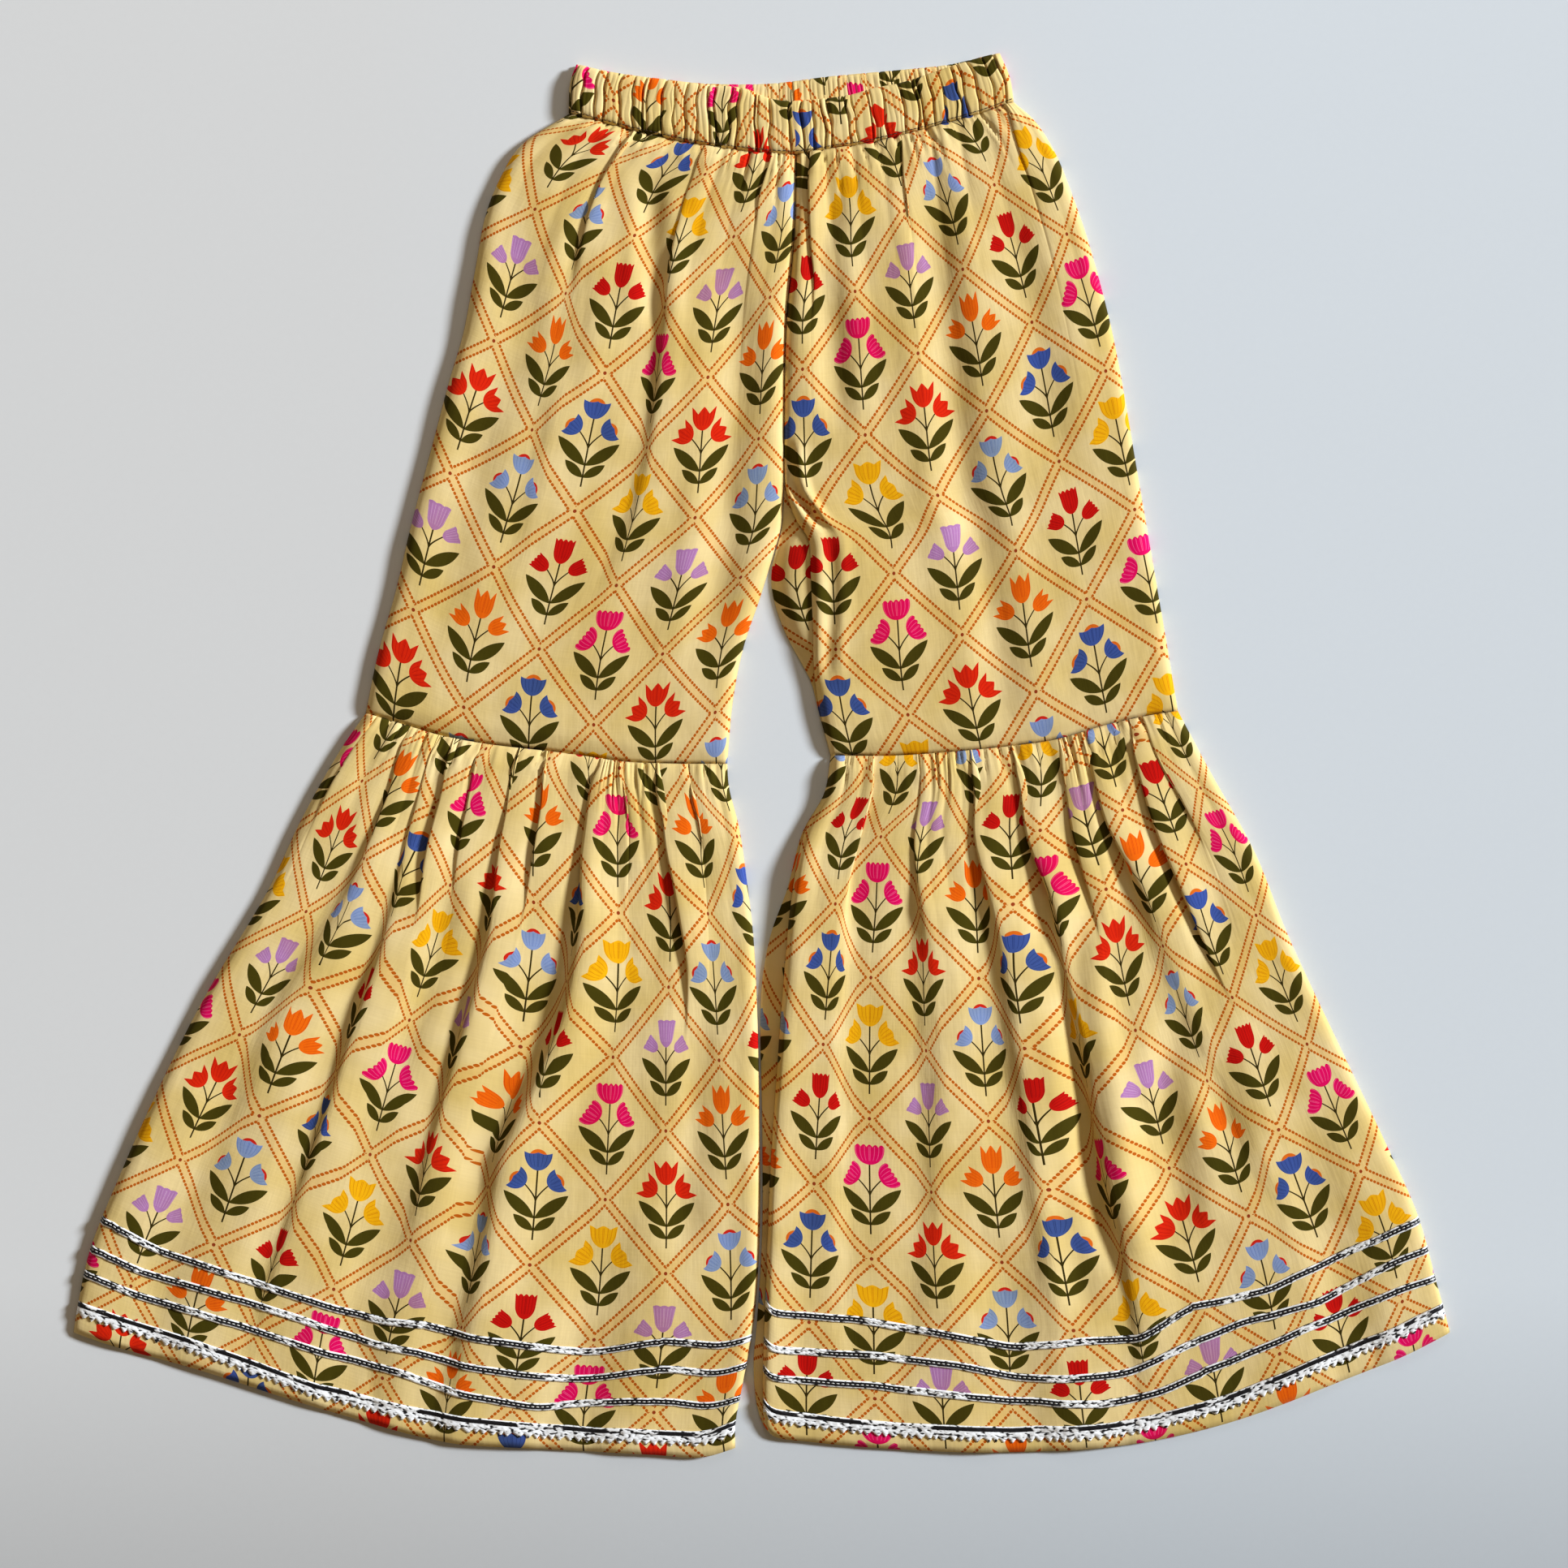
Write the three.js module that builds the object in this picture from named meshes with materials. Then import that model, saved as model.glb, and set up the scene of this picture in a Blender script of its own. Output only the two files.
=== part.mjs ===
// Tiered ruffle pants for a child, laid flat with the front uppermost.
// Two printed cotton legs hang from a casing with elastic, each with a gathered and flared
// tier sewn on at the knee, and rows of silver ribbon and lace above each hem.
// Millimetres. +Z is up from the surface that the back panels rest on, +Y runs to the waist
// and +X to the right. Left and right are as seen from above.

import * as THREE from "three";

// Cloth, seams and the heights of the layers
const WALL = 1.2;
const SEAM_GAP = 0.3;
const STEEPEST_WALL = 2.6;
const FRONT_FLOOR = WALL + SEAM_GAP;
const CROWN = 3.2;
const EDGE_ROUND = 12;
const SEAM_HOLD = 9;
const SEAM_LIFT = 0.45;
const HEM_START = 0.8;
const HEM_LIFT = 0.55;

// Pleats: how far a lap of cloth stands proud and how it dies away
const STEP_HALF = 1.7;
const LAP_WIDTH = 20;
const HOLLOW_WIDTH = 9;
const HOLLOW_SHARE = 0.3;
const BLOOM = 14;
const HELD_RISE = 0.4;
const PLEAT_HOLD = 0.45;
const GATHER_RISE = 0.9;
const GATHER_FADE = 16;
const COLUMN_STEP = 6.2;

// Casing with elastic
const CASING_WALL = 2.0;
const CASING_RIB = 1.1;
const CASING_BACK_RIB = 0.5;
const CASING_RIBS = 40;
const CASING_EDGE = 0.7;
const RIB_JITTER = 0.22;

// Silver trims on each tier
const TRIM_LIFT = 0.35;
const RIBBON_WIDTH = 5;
const RIBBON_WALL = 1;
const LACE_WIDTH = 6;
const LACE_TOOTH = 3;
const LACE_WALL = 1;
const LACE_STEPS = 3;

// Outlines, each a smooth curve through the points that its shape needs
const OUTLINES = {
  sideLeft: [
    { x: -95, y: 316 }, { x: -119, y: 300 }, { x: -129, y: 284 }, { x: -136, y: 266 },
    { x: -141, y: 240 }, { x: -147, y: 208 }, { x: -154, y: 184 }, { x: -163, y: 150 },
    { x: -173, y: 112 }, { x: -180, y: 82 }, { x: -189, y: 50 }, { x: -195, y: 21 },
  ],
  sideRight: [
    { x: 124, y: 322 }, { x: 135, y: 312 }, { x: 145, y: 296 }, { x: 153, y: 276 },
    { x: 160, y: 256 }, { x: 170, y: 220 }, { x: 176, y: 192 }, { x: 187, y: 128 },
    { x: 198, y: 64 }, { x: 205, y: 22 },
  ],
  waistLeft: [
    { x: -95, y: 316 }, { x: -73, y: 310 }, { x: -39, y: 302 }, { x: -4, y: 297 }, { x: 17, y: 296 },
  ],
  waistRight: [
    { x: 17, y: 296 }, { x: 37, y: 299 }, { x: 51, y: 301 }, { x: 72, y: 306 },
    { x: 94, y: 312 }, { x: 111, y: 317 }, { x: 124, y: 322 },
  ],
  middleLeft: [
    { x: 17, y: 296 }, { x: 16, y: 256 }, { x: 12, y: 212 }, { x: 11, y: 160 }, { x: 10.8, y: 130 },
    { x: 9.4, y: 112 }, { x: 6, y: 100 }, { x: 0, y: 80 }, { x: -9, y: 53 }, { x: -14, y: 28 }, { x: -17, y: -4 },
  ],
  middleRight: [
    { x: 17, y: 296 }, { x: 16, y: 256 }, { x: 12, y: 212 }, { x: 11, y: 160 }, { x: 12, y: 130 },
    { x: 17, y: 116 }, { x: 23, y: 106 }, { x: 24, y: 92 }, { x: 25, y: 66 }, { x: 26, y: 39 },
    { x: 29, y: 20 }, { x: 34, y: 0 },
  ],
  middleRightBack: [
    { x: 17, y: 296 }, { x: 16, y: 256 }, { x: 12, y: 212 }, { x: 11, y: 160 }, { x: 11.2, y: 130 },
    { x: 11.2, y: 112 }, { x: 11, y: 91 }, { x: 12, y: 77 }, { x: 15, y: 66 }, { x: 21, y: 48 }, { x: 25, y: 39 },
    { x: 29, y: 20 }, { x: 34, y: 0 },
  ],
  kneeLeft: [
    { x: -195, y: 21 }, { x: -175, y: 15 }, { x: -158, y: 10 }, { x: -137, y: 6 },
    { x: -95, y: 1 }, { x: -67, y: -3 }, { x: -41, y: -4 }, { x: -17, y: -4 },
  ],
  kneeRight: [
    { x: 34, y: 0 }, { x: 65, y: 0 }, { x: 95, y: 2 }, { x: 125, y: 5 },
    { x: 145, y: 8 }, { x: 169, y: 15 }, { x: 192, y: 20 }, { x: 205, y: 22 },
  ],
  flareLeft: [
    { x: -195, y: 21 }, { x: -208, y: 2 }, { x: -227, y: -32 }, { x: -243, y: -66 },
    { x: -275, y: -120 }, { x: -298, y: -166 }, { x: -315, y: -204 }, { x: -331, y: -244 },
    { x: -337, y: -272 }, { x: -339, y: -284 },
  ],
  flareRight: [
    { x: 205, y: 22 }, { x: 221, y: -8 }, { x: 243, y: -48 }, { x: 259, y: -88 },
    { x: 287, y: -148 }, { x: 306, y: -188 }, { x: 323, y: -226 }, { x: 332, y: -258 },
    { x: 339, y: -284 },
  ],
  innerLeft: [
    { x: -17, y: -4 }, { x: -16, y: -16 }, { x: -11, y: -36 }, { x: -7, y: -64 },
    { x: -4, y: -90 }, { x: -2, y: -130 }, { x: -1, y: -180 }, { x: -1, y: -236 },
    { x: -4, y: -280 }, { x: -9, y: -308 }, { x: -13, y: -330 }, { x: -13, y: -341 },
  ],
  innerRight: [
    { x: 34, y: 0 }, { x: 31, y: -18 }, { x: 21, y: -38 }, { x: 15, y: -68 },
    { x: 11, y: -108 }, { x: 8, y: -148 }, { x: 4, y: -208 }, { x: 2, y: -260 },
    { x: 0.5, y: -308 }, { x: 1, y: -330 },
  ],
  hemLeft: [
    { x: -339, y: -284 }, { x: -315, y: -292 }, { x: -275, y: -303 }, { x: -235, y: -316 },
    { x: -195, y: -328 }, { x: -155, y: -338 }, { x: -115, y: -341 }, { x: -55, y: -344 },
    { x: -30, y: -345.5 }, { x: -13, y: -341 },
  ],
  hemRight: [
    { x: 1, y: -330 }, { x: 6, y: -335 }, { x: 25, y: -338 }, { x: 75, y: -342 },
    { x: 120, y: -343 }, { x: 165, y: -341 }, { x: 195, y: -337 }, { x: 235, y: -327 },
    { x: 275, y: -312 }, { x: 315, y: -296 }, { x: 339, y: -284 },
  ],
  waist: [
    { x: -95, y: 316 }, { x: -73, y: 310 }, { x: -39, y: 302 }, { x: -4, y: 297 },
    { x: 17, y: 296 }, { x: 37, y: 299 }, { x: 51, y: 301 }, { x: 72, y: 306 },
    { x: 94, y: 312 }, { x: 111, y: 317 }, { x: 124, y: 322 },
  ],
  casingFrontTop: [
    { x: -91, y: 340 }, { x: -73, y: 336 }, { x: -43, y: 332 }, { x: -27, y: 330 },
    { x: -8, y: 328 }, { x: 3, y: 323.5 }, { x: 11, y: 322 }, { x: 29, y: 323 },
    { x: 44, y: 325 }, { x: 54, y: 328 }, { x: 69, y: 331 }, { x: 93, y: 339 },
    { x: 110, y: 344 }, { x: 117, y: 345.5 },
  ],
  casingBackTop: [
    { x: -91, y: 340 }, { x: -73, y: 336 }, { x: -43, y: 332 }, { x: -27, y: 330.5 },
    { x: 4, y: 330.5 }, { x: 33, y: 334 }, { x: 76, y: 338 }, { x: 93, y: 340 },
    { x: 110, y: 344 }, { x: 117, y: 345.5 },
  ],
  casingLeftEnd: [{ x: -91, y: 340 }, { x: -94, y: 332 }, { x: -95, y: 316 }],
  casingRightEnd: [{ x: 117, y: 345.5 }, { x: 122, y: 334 }, { x: 124, y: 322 }],
};

// Pleats let go from a seam. seam and end are places across the panel, as shares of its width,
// at the seam and where the pleat has died away; reach is how far down the panel that is.
// A pleat with a negative rise laps the other way.
const PLEATS = {
  tierLeft: [
    { seam: 0.030, end: 0.026, reach: 0.22, rise: 2.5 },
    { seam: 0.128, end: 0.170, reach: 0.22, rise: 5.0 },
    { seam: 0.209, end: 0.224, reach: 0.34, rise: 4.5 },
    { seam: 0.256, end: 0.270, reach: 0.34, rise: 6.0 },
    { seam: 0.330, end: 0.345, reach: 0.26, rise: 4.0 },
    { seam: 0.433, end: 0.440, reach: 0.40, rise: 4.0 },
    { seam: 0.508, end: 0.528, reach: 0.28, rise: 4.0 },
    { seam: 0.657, end: 0.627, reach: 0.52, rise: 7.0 },
    { seam: 0.720, end: 0.735, reach: 0.12, rise: 2.5 },
    { seam: 0.811, end: 0.862, reach: 0.42, rise: 5.0 },
    { seam: 0.896, end: 0.908, reach: 0.16, rise: 3.0 },
  ],
  tierRight: [
    { seam: 0.121, end: 0.122, reach: 0.30, rise: -3.5 },
    { seam: 0.249, end: 0.262, reach: 0.34, rise: 5.5 },
    { seam: 0.398, end: 0.416, reach: 0.38, rise: 5.5 },
    { seam: 0.515, end: 0.541, reach: 0.50, rise: 6.5 },
    { seam: 0.650, end: 0.634, reach: 0.32, rise: 5.0 },
    { seam: 0.727, end: 0.750, reach: 0.52, rise: 7.0 },
    { seam: 0.850, end: 0.812, reach: 0.46, rise: 5.5 },
    { seam: 0.900, end: 0.905, reach: 0.24, rise: 3.0 },
  ],
  legLeft: [
    { seam: 0.300, end: 0.324, reach: 0.22, rise: 4.0 },
    { seam: 0.602, end: 0.616, reach: 0.22, rise: 3.5 },
    { seam: 0.894, end: 0.868, reach: 0.14, rise: 2.5 },
  ],
  legRight: [
    { seam: 0.062, end: 0.075, reach: 0.30, rise: 4.0 },
    { seam: 0.470, end: 0.416, reach: 0.18, rise: 3.5 },
    { seam: 0.940, end: 0.870, reach: 0.14, rise: 2.5 },
  ],
};

// Soft folds lower down, each a hollow with a low swell on both sides. from and to are shares of
// the panel's length, start, middle and end are places across it, width and depth are millimetres.
const FOLDS = {
  tierLeft: [
    { from: 0.20, to: 0.70, start: 0.222, middle: 0.240, end: 0.300, width: 9, depth: 2.6 },
    { from: 0.36, to: 0.95, start: 0.630, middle: 0.565, end: 0.570, width: 11, depth: 2.2 },
    { from: 0.62, to: 1.10, start: 0.760, middle: 0.755, end: 0.750, width: 16, depth: 1.4 },
    { from: 0.50, to: 1.10, start: 0.130, middle: 0.120, end: 0.110, width: 14, depth: 1.2 },
    { from: 0.55, to: 1.10, start: 0.400, middle: 0.410, end: 0.430, width: 13, depth: 1.3 },
  ],
  tierRight: [
    { from: 0.20, to: 0.92, start: 0.256, middle: 0.280, end: 0.230, width: 12, depth: 2.6 },
    { from: 0.24, to: 0.56, start: 0.414, middle: 0.434, end: 0.434, width: 8, depth: 1.8 },
    { from: 0.34, to: 0.88, start: 0.541, middle: 0.530, end: 0.490, width: 10, depth: 2.2 },
    { from: 0.18, to: 0.84, start: 0.630, middle: 0.562, end: 0.550, width: 7, depth: 1.8 },
    { from: 0.36, to: 0.82, start: 0.750, middle: 0.690, end: 0.660, width: 9, depth: 1.8 },
    { from: 0.60, to: 1.10, start: 0.860, middle: 0.860, end: 0.850, width: 14, depth: 1.3 },
    { from: 0.66, to: 1.10, start: 0.360, middle: 0.370, end: 0.380, width: 14, depth: 1.3 },
  ],
  legLeft: [
    { from: 0.10, to: 0.86, start: 0.800, middle: 0.850, end: 0.900, width: 9, depth: 2.0 },
    { from: 0.06, to: 0.74, start: 0.470, middle: 0.625, end: 0.560, width: 7, depth: 1.7 },
    { from: 0.12, to: 0.90, start: 0.150, middle: 0.160, end: 0.145, width: 10, depth: 1.2 },
  ],
  legRight: [
    { from: 0.04, to: 0.76, start: 0.530, middle: 0.495, end: 0.475, width: 9, depth: 2.2 },
    { from: 0.03, to: 0.50, start: 0.170, middle: 0.105, end: 0.165, width: 7, depth: 1.6 },
    { from: 0.56, to: 1.00, start: 0.510, middle: 0.515, end: 0.510, width: 9, depth: 1.3 },
  ],
};

// Where each trim runs down its tier: across is a share of the width, down a share of the length
const TRIMS = {
  tierLeft: [
    [
      { across: 0.00, down: 0.828 }, { across: 0.10, down: 0.848 }, { across: 0.24, down: 0.854 },
      { across: 0.44, down: 0.856 }, { across: 0.51, down: 0.845 }, { across: 0.64, down: 0.852 },
      { across: 0.76, down: 0.859 }, { across: 0.87, down: 0.834 }, { across: 1.00, down: 0.837 },
    ],
    [
      { across: 0.00, down: 0.873 }, { across: 0.09, down: 0.885 }, { across: 0.33, down: 0.884 },
      { across: 0.44, down: 0.890 }, { across: 0.51, down: 0.885 }, { across: 0.67, down: 0.896 },
      { across: 0.76, down: 0.898 }, { across: 0.88, down: 0.874 }, { across: 1.00, down: 0.878 },
    ],
    [
      { across: 0.00, down: 0.911 }, { across: 0.09, down: 0.919 }, { across: 0.40, down: 0.921 },
      { across: 0.49, down: 0.918 }, { across: 0.58, down: 0.929 }, { across: 0.70, down: 0.941 },
      { across: 0.79, down: 0.929 }, { across: 0.89, down: 0.921 }, { across: 1.00, down: 0.927 },
    ],
    [
      { across: 0.00, down: 0.960 }, { across: 0.17, down: 0.965 }, { across: 0.36, down: 0.973 },
      { across: 0.56, down: 0.967 }, { across: 0.79, down: 0.973 }, { across: 1.00, down: 0.967 },
    ],
  ],
  tierRight: [
    [
      { across: 0.00, down: 0.818 }, { across: 0.14, down: 0.817 }, { across: 0.26, down: 0.834 },
      { across: 0.38, down: 0.854 }, { across: 0.47, down: 0.849 }, { across: 0.555, down: 0.857 },
      { across: 0.64, down: 0.828 }, { across: 0.76, down: 0.840 }, { across: 0.90, down: 0.827 },
      { across: 1.00, down: 0.827 },
    ],
    [
      { across: 0.00, down: 0.871 }, { across: 0.17, down: 0.867 }, { across: 0.29, down: 0.878 },
      { across: 0.39, down: 0.898 }, { across: 0.53, down: 0.902 }, { across: 0.63, down: 0.878 },
      { across: 0.70, down: 0.870 }, { across: 0.82, down: 0.882 }, { across: 0.93, down: 0.867 },
      { across: 1.00, down: 0.872 },
    ],
    [
      { across: 0.00, down: 0.913 }, { across: 0.17, down: 0.910 }, { across: 0.34, down: 0.925 },
      { across: 0.50, down: 0.940 }, { across: 0.58, down: 0.935 }, { across: 0.65, down: 0.919 },
      { across: 0.80, down: 0.911 }, { across: 0.93, down: 0.907 }, { across: 1.00, down: 0.916 },
    ],
    [
      { across: 0.00, down: 0.965 }, { across: 0.28, down: 0.970 }, { across: 0.50, down: 0.974 },
      { across: 0.64, down: 0.969 }, { across: 0.84, down: 0.962 }, { across: 1.00, down: 0.962 },
    ],
  ],
};

const cotton = new THREE.MeshStandardMaterial({ color: 0xe6d39a, roughness: 0.9, metalness: 0 });
const silver = new THREE.MeshStandardMaterial({ color: 0xc9c9cc, roughness: 0.35, metalness: 0.9 });

const pants = new THREE.Group();

function clamp(value, low = 0, high = 1) {
  return Math.min(high, Math.max(low, value));
}

function ease(value) {
  const t = clamp(value);
  return t * t * (3 - 2 * t);
}

// Quarter round: 0 at the edge, 1 from one radius in
function roundOff(distance, radius) {
  const t = 1 - clamp(distance / radius);
  return Math.sqrt(1 - t * t);
}

// The curve through start, middle and end at t = 0, 0.5 and 1
function throughThree(start, middle, end, t) {
  return start * (1 - t) * (1 - 2 * t) + 4 * middle * t * (1 - t) + end * t * (2 * t - 1);
}

// Height read from a table whose rows are in order of the first column
function between(rows, across) {
  let next = rows.findIndex((row) => row.across >= across);
  if (next < 1) next = next < 0 ? rows.length - 1 : 1;
  const a = rows[next - 1];
  const b = rows[next];
  return a.down + (b.down - a.down) * ease((across - a.across) / (b.across - a.across));
}

function smoothCurve(points) {
  const corners = points.map((point) => new THREE.Vector3(point.x, point.y, 0));
  const curve = new THREE.CatmullRomCurve3(corners, false, "centripetal");
  curve.arcLengthDivisions = 400;
  return curve;
}

// A panel is the sheet stretched between four outlines. u runs from left to right and v from the
// top edge down, both from 0 to 1, and the sheet stops half a seam gap short of its outlines.
class Panel {
  constructor(top, bottom, left, right) {
    this.top = smoothCurve(OUTLINES[top]);
    this.bottom = smoothCurve(OUTLINES[bottom]);
    this.left = smoothCurve(OUTLINES[left]);
    this.right = smoothCurve(OUTLINES[right]);
  }

  width(v) {
    return this.left.getPointAt(v).distanceTo(this.right.getPointAt(v));
  }

  length() {
    return (this.left.getLength() + this.right.getLength()) / 2;
  }

  at(u, v) {
    const sideInset = SEAM_GAP / 2 / this.width(v);
    const endInset = SEAM_GAP / 2 / this.length();
    const s = clamp(u, sideInset, 1 - sideInset);
    const t = clamp(v, endInset, 1 - endInset);
    const top = this.top.getPointAt(s);
    const bottom = this.bottom.getPointAt(s);
    const left = this.left.getPointAt(t);
    const right = this.right.getPointAt(t);
    const sheet = top.multiplyScalar(1 - t).add(bottom.multiplyScalar(t));
    sheet.add(left.multiplyScalar(1 - s)).add(right.multiplyScalar(s));
    const corners = [
      { point: this.top.getPointAt(0), share: (1 - s) * (1 - t) },
      { point: this.top.getPointAt(1), share: s * (1 - t) },
      { point: this.bottom.getPointAt(0), share: (1 - s) * t },
      { point: this.bottom.getPointAt(1), share: s * t },
    ];
    for (const { point, share } of corners) sheet.addScaledVector(point, -share);
    return sheet;
  }
}

// A closed wall from two grids of points, the outer one above the inner one
function wallGeometry(inner, outer) {
  const rows = inner.length;
  const columns = inner[0].length;
  const positions = [];
  for (const grid of [outer, inner]) {
    for (const row of grid) {
      for (const point of row) positions.push(point.x, point.y, point.z);
    }
  }
  const index = (layer, i, j) => layer * rows * columns + i * columns + j;
  const faces = [];
  const quad = (a, b, c, d) => faces.push(a, b, c, a, c, d);
  for (let i = 0; i + 1 < rows; i += 1) {
    for (let j = 0; j + 1 < columns; j += 1) {
      quad(index(0, i, j), index(0, i + 1, j), index(0, i + 1, j + 1), index(0, i, j + 1));
      faces.push(index(1, i, j), index(1, i + 1, j + 1), index(1, i + 1, j));
      faces.push(index(1, i, j), index(1, i, j + 1), index(1, i + 1, j + 1));
    }
  }
  for (let j = 0; j + 1 < columns; j += 1) {
    quad(index(0, 0, j), index(0, 0, j + 1), index(1, 0, j + 1), index(1, 0, j));
    const last = rows - 1;
    quad(index(0, last, j + 1), index(0, last, j), index(1, last, j), index(1, last, j + 1));
  }
  for (let i = 0; i + 1 < rows; i += 1) {
    quad(index(0, i + 1, 0), index(0, i, 0), index(1, i, 0), index(1, i + 1, 0));
    const last = columns - 1;
    quad(index(0, i, last), index(0, i + 1, last), index(1, i + 1, last), index(1, i, last));
  }
  const geometry = new THREE.BufferGeometry();
  geometry.setAttribute("position", new THREE.Float32BufferAttribute(positions, 3));
  geometry.setIndex(faces);
  geometry.computeVertexNormals();
  return geometry;
}

function addPiece(name, geometry, material) {
  const piece = new THREE.Mesh(geometry, material);
  piece.name = name;
  pants.add(piece);
}

// The outer face of a wall: its inner points raised, further where the wall is steep
function raised(inner, thickness) {
  return inner.map((row) => row.map((point, j) => {
    const before = row[Math.max(0, j - 1)];
    const after = row[Math.min(row.length - 1, j + 1)];
    const steepness = [before, after].map((other) => {
      const run = Math.hypot(other.x - point.x, other.y - point.y);
      return run > 0 ? Math.abs(other.z - point.z) / run : 0;
    });
    const factor = Math.min(STEEPEST_WALL, Math.hypot(1, Math.max(...steepness)));
    return new THREE.Vector3(point.x, point.y, point.z + thickness * factor);
  }));
}

function pleatPlace(pleat, v) {
  return pleat.seam + (pleat.end - pleat.seam) * clamp(v / pleat.reach);
}

// How much of a pleat is left at a place down the panel: held by the seam, then full, then gone
function pleatShare(pleat, v, length) {
  const bloom = HELD_RISE + (1 - HELD_RISE) * ease(v * length / BLOOM);
  const start = pleat.reach * PLEAT_HOLD;
  return bloom * (1 - ease((v - start) / (pleat.reach - start)));
}

function pleatHeight(pleats, u, v, width, length) {
  let height = 0;
  for (const pleat of pleats) {
    const share = pleatShare(pleat, v, length);
    const away = (u - pleatPlace(pleat, v)) * width * Math.sign(pleat.rise);
    const rise = Math.abs(pleat.rise) * share;
    if (away >= 0) height += rise * (1 - ease(away / LAP_WIDTH));
    else height -= HOLLOW_SHARE * rise * (1 - ease(-away / HOLLOW_WIDTH));
  }
  return height;
}

function foldHeight(folds, u, v, width) {
  let height = 0;
  for (const fold of folds) {
    const t = (v - fold.from) / (fold.to - fold.from);
    if (t <= 0 || t >= 1) continue;
    const share = ease(t * 4) * ease((1 - t) * 4);
    const place = throughThree(fold.start, fold.middle, fold.end, t);
    const away = (u - place) * width / fold.width;
    const swell = Math.exp(-((away - 2) ** 2)) + Math.exp(-((away + 2) ** 2));
    height += fold.depth * share * (0.45 * swell - Math.exp(-(away ** 2)));
  }
  return height;
}

// Height of the wall's inner face above the back panel: an easy crown held down along the seams
function crownHeight(u, v, width, length, hemIsFree) {
  const side = roundOff(Math.min(u, 1 - u) * width, EDGE_ROUND);
  const top = SEAM_LIFT + (1 - SEAM_LIFT) * ease(v * length / SEAM_HOLD);
  const low = hemIsFree
    ? 1 - (1 - HEM_LIFT) * ease((v - HEM_START) / (1 - HEM_START))
    : SEAM_LIFT + (1 - SEAM_LIFT) * ease((1 - v) * length / SEAM_HOLD);
  return CROWN * side * Math.min(top, low);
}

// Columns of a front panel: one on each side of every pleat's step, evenly spaced between
function frontColumns(panel, pleats) {
  const width = panel.width(0);
  const knots = [{ pleat: null, side: 0, place: 0 }];
  for (const pleat of pleats) {
    knots.push({ pleat, side: -1, place: pleat.seam });
    knots.push({ pleat, side: 1, place: pleat.seam });
  }
  knots.push({ pleat: null, side: 0, place: 1 });
  const columns = [{ from: knots[0], to: knots[0], share: 0 }];
  for (let k = 1; k < knots.length; k += 1) {
    const step = (knots[k].place - knots[k - 1].place) * width;
    const count = Math.max(1, Math.round(step / COLUMN_STEP));
    for (let n = 1; n <= count; n += 1) {
      columns.push({ from: knots[k - 1], to: knots[k], share: n / count });
    }
  }
  return columns;
}

function knotPlace(knot, v, width) {
  if (!knot.pleat) return knot.place;
  return pleatPlace(knot.pleat, v) + knot.side * STEP_HALF / width;
}

// The two faces of a front panel, with its pleats, soft folds and fine gathers
function frontFaces(panel, key, rows, hemIsFree) {
  const pleats = PLEATS[key];
  const columns = frontColumns(panel, pleats);
  const length = panel.length();
  const inner = rows.map((v) => {
    const width = panel.width(v);
    return columns.map((column, j) => {
      const a = knotPlace(column.from, v, width);
      const b = knotPlace(column.to, v, width);
      const u = a + (b - a) * column.share;
      const atEnd = j === 0 || j === columns.length - 1;
      const crown = crownHeight(u, v, width, length, hemIsFree);
      const folds = pleatHeight(pleats, u, v, width, length) + foldHeight(FOLDS[key], u, v, width);
      const gather = j % 2 === 1 ? GATHER_RISE * (1 - ease(v * length / GATHER_FADE)) : 0;
      const edge = roundOff(Math.min(u, 1 - u) * width, EDGE_ROUND);
      const lift = atEnd ? 0 : Math.max(0, crown + (folds + gather) * edge);
      const point = panel.at(u, v);
      point.z = FRONT_FLOOR + lift;
      return point;
    });
  });
  return { inner, outer: raised(inner, WALL), columns, rows };
}

// A back panel lies flat, so it is its outline extruded to the wall's thickness
function backGeometry(panel, steps, thickness = WALL) {
  const shape = new THREE.Shape();
  const corner = panel.at(0, 0);
  shape.moveTo(corner.x, corner.y);
  const sides = [
    (t) => panel.at(0, t), (t) => panel.at(t, 1), (t) => panel.at(1, 1 - t), (t) => panel.at(1 - t, 0),
  ];
  sides.forEach((side, number) => {
    const count = number % 2 === 0 ? steps.side : steps.end;
    const last = number === sides.length - 1 ? count - 1 : count;
    for (let n = 1; n <= last; n += 1) {
      const point = side(n / count);
      shape.lineTo(point.x, point.y);
    }
  });
  return new THREE.ExtrudeGeometry(shape, { depth: thickness, bevelEnabled: false });
}

// The places of a casing's gathers across its width, unevenly spaced as the elastic draws them
function ribPlace(number) {
  const jitter = number <= 0 || number >= CASING_RIBS ? 0 : RIB_JITTER * Math.sin(number * 12.9898);
  return (number + jitter) / CASING_RIBS;
}

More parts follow.
